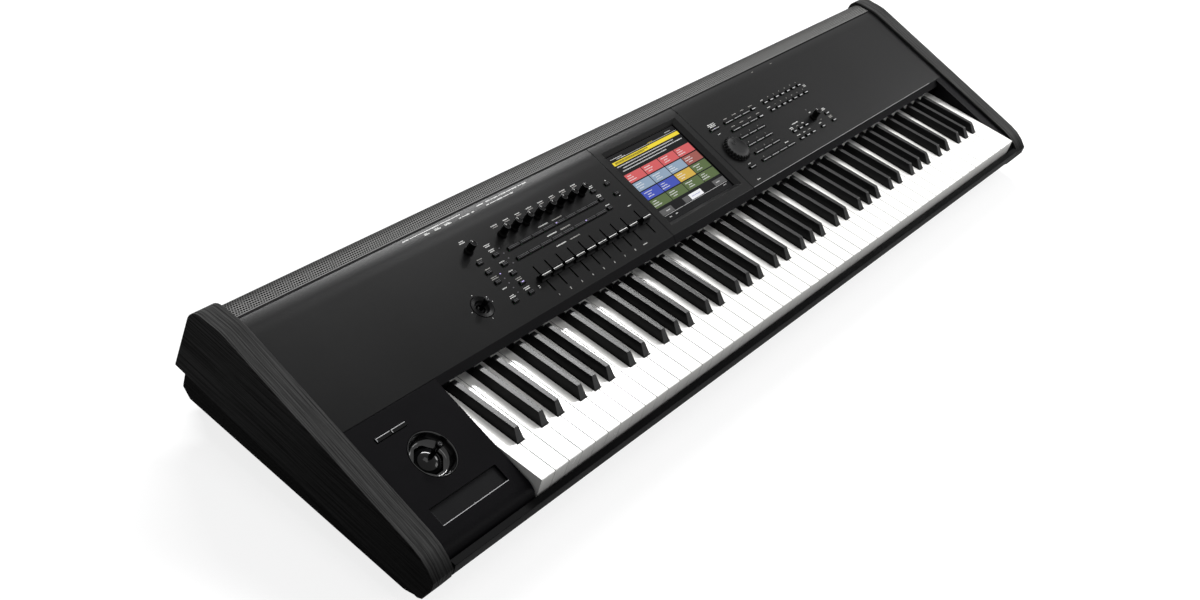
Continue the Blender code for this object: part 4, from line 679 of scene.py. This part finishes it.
def make_bowls():
    """The glossy bowl of the main joystick with its cornered opening, and the vector joystick's dish."""
    wall = [(27.2, -2.5, 0), (27.2, 0.15, 0), (27.0, 0.4, 0), (26.4, 0.4, 0), (25.9, -0.2, 0), (25.4, -2, 0)]
    wall += [(24.7, -4.5, 0), (23.6, -7, 0), (22.3, -9.4, 0), (21.0, -10.7, 0), (20.0, -11.15, 0)]
    edge = [(17.4, -11.3, 1), (17.1, -11.6, 1), (17.1, -12.8, 1), (24.5, -12.8, 0)]
    bowl = turned_cup("joystick_cup", wall + edge, 96, panel_at(*JOYSTICK_AT))
    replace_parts(finish(bowl, "bowl", smooth=40), "joystick_bowl")
    rim = [(14.3, -2.5, 0), (14.3, 0.1, 0), (14.1, 0.45, 0), (13.4, 0.5, 0), (12.9, 0.2, 0), (9.8, 0.05, 0)]
    rim += [(9.3, -0.3, 0), (8.8, -1.6, 0), (7.9, -3.2, 0), (6.9, -4.2, 0), (6.2, -4.4, 0)]
    rim += [(6.2, -5.6, 0), (13.2, -5.6, 0)]
    dish = turned_cup("vector_dish", rim, 72, panel_at(*VECTOR_AT))
    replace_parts(finish(dish, "cap", smooth=40), "vector_joystick_dish")
    x, up = VECTOR_AT
    around = ((1, 0), (0, 1), (-1, 0), (0, -1))
    printed("vector_marks", [(x + 17.5 * a, up + 17.5 * b, 0.9, 0.9) for a, b in around], "ink")


def make_stick(prefix, node, place, ball, drop, skirt, stick, tip, high, looks):
    """A ball with its stick, about the pivot under the panel. Sizes are in mm."""
    middle = -drop - ball
    pivot = panel_at(*place, middle)
    peak = high - middle
    turns = [math.pi / 2 - (math.pi / 2 - math.asin(stick / ball)) * i / 12 for i in range(13)]
    dome = [(0.3, -skirt), (ball, -skirt)] + [(ball * math.sin(t), ball * math.cos(t)) for t in turns]
    dome.append((0.3, ball * math.cos(turns[-1]) + 0.02))
    piece = finish(lathe(prefix + "_ball", scaled(dome), 64, pivot), looks[0], node, 40)
    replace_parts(piece, node)
    foot = math.sqrt(ball * ball - stick * stick) - 0.4
    shaft = [(stick * 0.9, foot), (stick, foot), (stick, peak - 2.2 * tip), (tip, peak - 1.5 * tip)]
    shaft += [(tip, peak - 0.6), (tip * 0.92, peak - 0.1), (tip * 0.72, peak), (tip * 0.68, peak - 0.25)]
    shaft.append((0.3, peak - 0.3))
    finish(lathe(prefix + "_shaft", scaled(shaft), 40, pivot), looks[1], node, 40)
    # A painted highlight: a light ring on the stick's flat end.
    low, high_edge = peak - 0.32, peak - 0.05
    ring = in_mm((tip * 0.3, low), (tip * 0.55, low), (tip * 0.5, high_edge), (tip * 0.35, high_edge))
    finish(tube_ring(prefix + "_end_ring", ring, 32, pivot), "edge", node)


def make_joysticks():
    looks = ("gloss", "gloss")
    make_stick("joystick", "joystick_stick", JOYSTICK_AT, 20, 5, 2.4, 2.9, 3.3, 18.4, looks)
    looks = ("cap", "gloss")
    make_stick("vector", "vector_joystick_stick", VECTOR_AT, 7.5, 3.5, 1.76, 2.5, 3.4, 14.6, looks)


def word(x, up, width, height=1.2):
    """A run of small upright ticks that reads as a short printed word from afar and spells nothing."""
    ticks, at, step = [], x - width / 2, 0
    while at < x + width / 2 - 0.4:
        wide = (0.5, 0.75, 0.4, 0.6)[(step + int(abs(x) * 3)) % 4]
        tall = height * (1.0, 0.75, 1.0, 0.85, 1.0)[(step * 2 + int(abs(up))) % 5]
        ticks.append((at + wide / 2, up, wide, tall))
        at += wide + 0.42
        step += 1
    return ticks


def label(x, up, *widths):
    """One word or more under each other, centred on the place."""
    marks = []
    for row, width in enumerate(widths):
        marks += word(x, up + 2.3 * ((len(widths) - 1) / 2 - row), width)
    return marks


def printed(name, marks, look, matrix=PANEL):
    """Flat printed marks from (x, up, width, depth) in mm."""
    spans = [(x * MM, up * MM, w * MM, d * MM, 0.0, PROUD) for x, up, w, d in marks]
    finish(bars(name, spans, matrix), look)


LEFT_WHITE = (
    (-356.7, 103.6, 11, 9), (-356.7, 95.7, 10, 8), (-357.2, 77.8, 9), (-357.3, 63, 7),
    (-357.3, 35.6, 11, 9), (-383.9, 35.4, 8, 10), (-384.1, 48.2, 8), (-340.7, 29.6, 3, 3),
    (-148.4, 109, 10, 8), (-147.9, 93.6, 9, 7), (-148.6, 77.7, 8), (-149.4, 9.5, 9), (-118.7, 63.2, 7),
)
LEFT_GREY = ((-381.4, 93.1, 9), (-382.6, 78.3, 9), (-384.4, 65, 10, 11), (-356.3, 50.1, 10, 9))
RIGHT_WHITE = (
    (268.8, 106.8, 7), (268.5, 92.2, 8), (378.5, 96, 6, 7), (286, 52, 15), (269.7, 47, 9, 7),
    (300.8, 46.7, 7), (270.8, 33.4, 9), (287, 33.4, 6), (334, 33, 7), (367.2, 49.6, 8, 9),
    (335, 55.1, 5), (122.4, 7, 8),
)
RIGHT_GREY = (
    (285.5, 46.7, 6), (302, 33.6, 7), (342.8, 37.5, 3), (367.3, 34, 9, 10),
    (305.8, 152.2, 4), (358.5, 151.8, 4),
)


def labels(rows):
    return [mark for row in rows for mark in label(*row)]


def make_legends():
    """Generic printed marks beside the controls, where the photograph has lettering."""
    white, grey = [], []
    for i in range(8):
        x = KNOBS_FROM + KNOB_STEP * i
        white += word(x, 122.2, 11 - i % 3)
        grey += word(x + 0.5, 119.6, 9 + i % 2)
    white += label(-383.4, 121.4, 8, 10)
    for up in (94, 78.7, 62):
        white += word(-261.5, up, 19, 1.5)
        grey += word(-235.5, up - 0.4, 19, 1.5)
    white += labels(LEFT_WHITE) + [(-117.8, 108.1, 1.8, 1), (-118, 81.2, 1.8, 1)]
    grey += labels(LEFT_GREY)
    for column in range(4):
        for up in (86, 101.2):
            grey += word(170 + 22.2 * column, up + 5.9, 9 + column % 2)
    white += labels(((134.5, 107.6, 17, 19, 15), (132.3, 91.1, 6), (132.6, 32.9, 6), (235.4, 33.2, 10)))
    for i in range(1, 7):
        grey += word(270.6 + 16.15 * i, 107.2, 2) + word(270.6 + 16.15 * i, 92.1, 2)
    white += labels(RIGHT_WHITE)
    grey += labels(RIGHT_GREY)
    printed("white_legends", white, "ink")
    printed("grey_legends", grey, "dim_ink")
    make_rear_legends()


def make_rear_legends():
    """Rows of marks and thin guide lines along the crest, over the rear connectors."""
    first, second, low = 3.5, 3.6, -1.2
    tall, thin = 1.7, 0.6
    marks = word(-445.5, first, 11, tall) + [(-433, first, 12, thin), (-426.5, first, 0.5, 1.6)]
    marks += [(-413, first, 24, thin)] + word(-396, first, 12, tall)
    marks += [(-371, first, 36, thin), (-353, first, 0.5, 1.6)]
    for x, width in ((-414, 9), (-396, 11), (-378, 12)):
        marks += word(x, low, width, tall) + word(x - 1, low + 1.6, width - 3, 1.0)
    marks += word(-357, low, 4, tall) + [(-350, low, 8, thin)]
    marks += word(-343.5, low, 7, tall) + word(-334, low, 5, tall) + word(-316, second, 12, 1.6)
    for x, width in ((-301, 8), (-287, 8), (-272, 9), (-251, 10), (-232, 8)):
        marks += word(x, second, width, tall)
    marks += [(x, second, width, thin) for x, width in ((-294, 4), (-279.5, 4), (-262, 9), (-241, 7))]
    for x, width in ((-307, 5), (-284.5, 11), (-262, 7)):
        marks += word(x, low, width, tall)
    marks += [(x, low, 12, thin) for x in (-297, -272)]
    printed("rear_legends", marks, "ink", CREST)


def cap_ridges():
    """Places of the two ridges moulded on each left cap and the one on each right cap, in mm, painted light
    as highlights.
    """
    left = [(-385.5, up, 9) for up in (28.8, 58.8, 74, 88.8)]
    left += [(-357, up, 9) for up in (28.8, 44.2, 58.9, 73.7, 88.8)]
    left += [(-150.3, up, 9) for up in (72.5, 87.7, 102.5)] + [(-120.3, up, 9) for up in (85.5, 102.9)]
    left += [(-336.2 + 22.15 * (i + 0.5), up, 21.6) for up in (72.1, 87.6) for i in range(8)]
    soft = [(x, up + shift, width - 1.4, 0.5) for x, up, width in left for shift in (1.1, -0.7)]
    pads = [(170 + 22.5 * k, up, 21.2) for row, up in enumerate(CAP_ROWS) for k in range(3 if row else 4)]
    pads += [(132.6, 101.2, 21.9), (132.6, 27, 15)]
    small = [(236.15, up, 11) for up in CAP_ROWS[4:]]
    small += [(270.6 + 16.15 * k, up, 9) for up in CAP_ROWS[4:] for k in range(7)]
    small += [(270 + 16.7 * k, up, 9) for up in CAP_ROWS[:2] for k in range(3)]
    small += [(332.8, 27, 9), (366, 27, 9), (366, 41.5, 9)]
    middle = [(x, up - 1.0, width - 3, 1.0) for x, up, width in pads]
    bright = [(x, up - 1.0, width - 2, 1.2) for x, up, width in small]
    return soft, middle, bright


def make_cap_ridges():
    # The ridges are painted light grey as painted highlights.
    low, high = CAP_TOP - 0.1, CAP_TOP + 0.25
    looks = ("edge", "mid_edge", "bright_edge")
    for name, look, marks in zip(("left", "pad", "small"), looks, cap_ridges()):
        spans = in_mm(*((*mark, low, high) for mark in marks))
        finish(bars(name + "_cap_ridges", spans), look, bevel=0.1 * MM)


def add_number(bm, text, x, up, height):
    curve = bpy.data.curves.new("number", "FONT")
    curve.body = text
    curve.size = height * MM
    curve.align_x = "CENTER"
    curve.align_y = "CENTER"
    curve.extrude = PROUD / 2
    curve.resolution_u = 2
    guide = bpy.data.objects.new("number", curve)
    scene.collection.objects.link(guide)
    bpy.context.view_layer.update()
    graph = bpy.context.evaluated_depsgraph_get()
    mesh = bpy.data.meshes.new_from_object(guide.evaluated_get(graph))
    bpy.data.objects.remove(guide, do_unlink=True)
    mesh.transform(Matrix.Translation((x * MM, up * MM, PROUD / 2)))
    bm.from_mesh(mesh)
    bpy.data.meshes.remove(mesh)


def make_numbers():
    """Plain numbers under the sliders and over the number buttons."""
    sliders = [(str(i + 1), SLIDERS_FROM + SLIDER_STEP * i, 9.2, 3.8) for i in range(8)]
    pads = []
    for up, digits in ((71, "789"), (56, "456"), (41.5, "123"), (27, "0")):
        pads += [(digit, 169 + 22.5 * k, up + 4.6, 2.8) for k, digit in enumerate(digits)]
    for name, look, rows in (("slider_numbers", "ink", sliders), ("pad_numbers", "dim_ink", pads)):
        bm = bmesh.new()
        for row in rows:
            add_number(bm, *row)
        mesh = bpy.data.meshes.new(name)
        bm.to_mesh(mesh)
        bm.free()
        obj = bpy.data.objects.new(name, mesh)
        obj.matrix_world = PANEL
        finish(obj, look)


def window(x, up, width, depth, low=0.0, thick=2 * PROUD):
    """A small lamp's window: place and size in mm, height in metres."""
    return (x * MM, up * MM, width * MM, depth * MM, low, low + thick)


def make_lamps():
    """Small indicator windows, a few of them lit."""
    cap = CAP_TOP * MM
    dark = [window(-373, 36.5 + 7.4 * i, 2, 1.2) for i in range(4)]
    dark += [window(-345, 70 + 8 * i, 2, 1.2) for i in range(4)] + [window(332.6, 61.4, 2, 2)]
    lit = [window(-373, 36.5 + 7.4 * 4, 2, 1.2), window(-201, 72.5, 2.4, 1.2, cap, 3 * PROUD)]
    lit += [window(-243.5, 88, 2.4, 1.2, cap, 3 * PROUD), window(-356.5, 44.3, 4, 1.0, cap, 3 * PROUD)]
    lit += [window(132.6, 100.6, 3, 0.9, cap)]
    finish(bars("lit_lamps", lit), "lamp")
    finish(bars("unlit_lamps", dark), "dark_lamp")


def make_picture():
    """A generic page on the screen: a title bar, rows of marks and a grid of coloured tiles."""
    hues = {
        "page": ((0.006, 0.006, 0.007), 0.6),
        "bar": ((0.85, 0.66, 0.04), 0.95),
        "line": ((0.75, 0.75, 0.75), 1.0),
        "red": ((0.62, 0.11, 0.115), 0.95),
        "rust": ((0.33, 0.1, 0.085), 0.95),
        "slate": ((0.27, 0.36, 0.47), 0.95),
        "blue": ((0.055, 0.085, 0.44), 0.95),
        "amber": ((0.62, 0.4, 0.07), 0.95),
        "olive": ((0.1, 0.145, 0.055), 0.95),
        "grey": ((0.11, 0.11, 0.11), 0.9),
        "paper": ((0.8, 0.8, 0.82), 1.0),
    }
    for name, (colour, strength) in hues.items():
        MATERIALS["lcd_" + name] = glow("screen_" + name, colour, strength)
    layers = {name: [] for name in hues}
    glass, layer = -6.45, 0.02

    def add(name, x, up, width, depth, level=1):
        low = glass + layer * level
        layers[name] += in_mm((x, up, width, depth, low, low + layer))

    def write(x, up, width, height=1.0, level=2, name="line"):
        for at, row, wide, tall in word(x, up, width, height):
            add(name, at, row, wide, tall, level)

    add("page", 0, 78.3, 156, 116.5, 0)
    write(-60, 131.5, 26, 1.1)
    write(-52, 129.2, 20, 0.9)
    add("line", 12, 128.6, 128, 0.35)
    write(60, 132, 14, 1.0)
    write(15, 129.8, 12, 0.9, 2, "bar")
    add("bar", 0.8, 124, 152, 5.6)
    write(-34, 124.8, 74, 1.9, 2, "page")
    write(-38, 123.2, 66, 1.7, 2, "page")
    for row, (x, width) in enumerate(((-8, 130), (4, 138), (-20, 100))):
        write(x, 118.3 - 4.1 * row, width, 1.5)
    order = ("red", "red", "red", "red", "slate", "slate", "slate", "rust")
    order += ("blue", "blue", "amber", "olive", "olive", "olive", "olive", "olive")
    for i, hue in enumerate(order):
        x, up = -57.4 + 38.4 * (i % 4), 97.4 - 15.6 * (i // 4)
        add(hue, x, up, 36.8, 13.9)
        for row in range(3):
            write(x - 10 + 2 * (i % 3), up + 3.6 - 3.4 * row, 9 + 4 * ((i + row) % 3), 1.4)
    for x, width, hue in ((-63, 27, "grey"), (-16.5, 13, "grey"), (6, 29, "paper"), (63, 27, "grey")):
        add(hue, x, 35, width, 8.6)
    write(-60, 35, 9, 1.4)
    write(60, 35, 9, 1.4)
    write(6, 35, 20, 0.9, 2, "blue")
    add("line", 0, 29.6, 150, 0.35)
    write(-66, 25.5, 5, 1.4)
    write(-52, 25.5, 5, 1.4)
    write(66, 26.5, 8, 0.8)
    for name, spans in layers.items():
        finish(bars("screen_" + name, spans), "lcd_" + name)


def panel_span(node):
    """Lowest and highest corners of a CAD node in the panel's frame."""
    turn = PANEL.inverted()
    points = [turn @ vertex.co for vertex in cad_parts[node].data.vertices]
    return [Vector(pick(point[i] for point in points) for i in range(3)) for pick in (min, max)]


def make_trim():
    """Painted highlights on the ribbon's recess, the switch caps and the right panel's fold line, and dark
    seams of painted shade.
    """
    ribbon = panel_at(*RIBBON_AT)
    # Painted highlights on the recess's front edge, with a small tick, and on its side edge.
    front = in_mm((0, -10.5, 101, 0.7, -2.7, -0.1), (0, -9.4, 0.5, 1.4, -2.75, -2.6))
    finish(bars("ribbon_front_edge", front, ribbon), "bright_edge")
    side = in_mm((-50.5, 0, 0.4, 20, -2.7, -0.5))
    finish(bars("ribbon_side_edge", side, ribbon), "edge")
    # Painted highlights along the switch caps' edges.
    for number in (1, 2):
        node = f"joystick_switch_{number}"
        low, high = panel_span(node)
        long, deep = high.x - low.x, high.y - low.y
        mid_x, mid_y = (low.x + high.x) / 2, (low.y + high.y) / 2
        heights = (high.z - 0.2 * MM, high.z + 0.25 * MM)
        edges = [(mid_x, high.y - 0.6 * MM, long - 1.6 * MM, 0.7 * MM, *heights)]
        edges += [(low.x + 1 * MM, mid_y, 0.7 * MM, deep - 1.4 * MM, *heights)]
        finish(bars(node + "_edges", edges), "bright_edge", node)
    # Painted shade: a dark bar in the joint between the top panels and the grille.
    level = Matrix.Translation((0, 0, 136.96 * MM))
    finish(bars("grille_joint_shade", in_mm((0, 138.8, 1380, 3.2, -0.9, 0)), level), "case")
    # Painted shade: dark bars in the seams of the display housing and its crest.
    wide = SEAM_WIDTH * MM
    seams = [(x * MM, 61 * MM, wide, 122 * MM, -0.1 * MM, 2 * PROUD) for x in HOUSING_SEAMS]
    finish(bars("housing_seam_shade", seams), "case")
    seams = [(x * MM, 2 * MM, wide, 13 * MM, -0.3 * MM, PROUD) for x in HOUSING_SEAMS]
    finish(bars("crest_seam_shade", seams, CREST), "case")
    # Painted highlight along the right panel's fold.
    fold = [(374 * MM, 0.3 * MM, 548 * MM, 0.6 * MM, -0.1 * MM, PROUD)]
    finish(bars("fold_highlight", fold), "mid_edge")


def make_rear():
    """Nuts round the phone sockets and plain marks over the rear connectors."""
    y = 170.5 * MM
    z = 22.4 * MM + 8 * MM
    facing = Matrix.Rotation(-math.pi / 2, 4, "X")
    sockets = [-200 + 30 * i for i in range(8)]
    section = in_mm((5.9, 0), (7.6, 0), (7.6, 1.2), (7.1, 1.6), (5.9, 1.6))
    for i, x in enumerate(sockets):
        nut = tube_ring(f"socket_nut_{i + 1}", section, 6, Matrix.Translation((x * MM, y, z)) @ facing)
        finish(nut, "nickel", bevel=0.2 * MM)
    marks = [(x, 0, 9, 1.2) for x in sockets]
    marks += [(70 + 26 * i, 0, 8, 1.2) for i in range(3)]
    marks += [(170 + 26 * i, 0, 7, 1.2) for i in range(2)]
    printed("rear_dashes", marks, "ink", Matrix.Translation((0, y, z + 13 * MM)) @ facing)


make_camera()
make_stage()
for lamp in LAMPS:
    add_lamp(*lamp)
dress_nodes()
make_knobs()
make_dial()
make_sliders()
make_bowls()
make_joysticks()
make_cap_ridges()
make_legends()
make_numbers()
make_lamps()
make_picture()
make_trim()
make_rear()
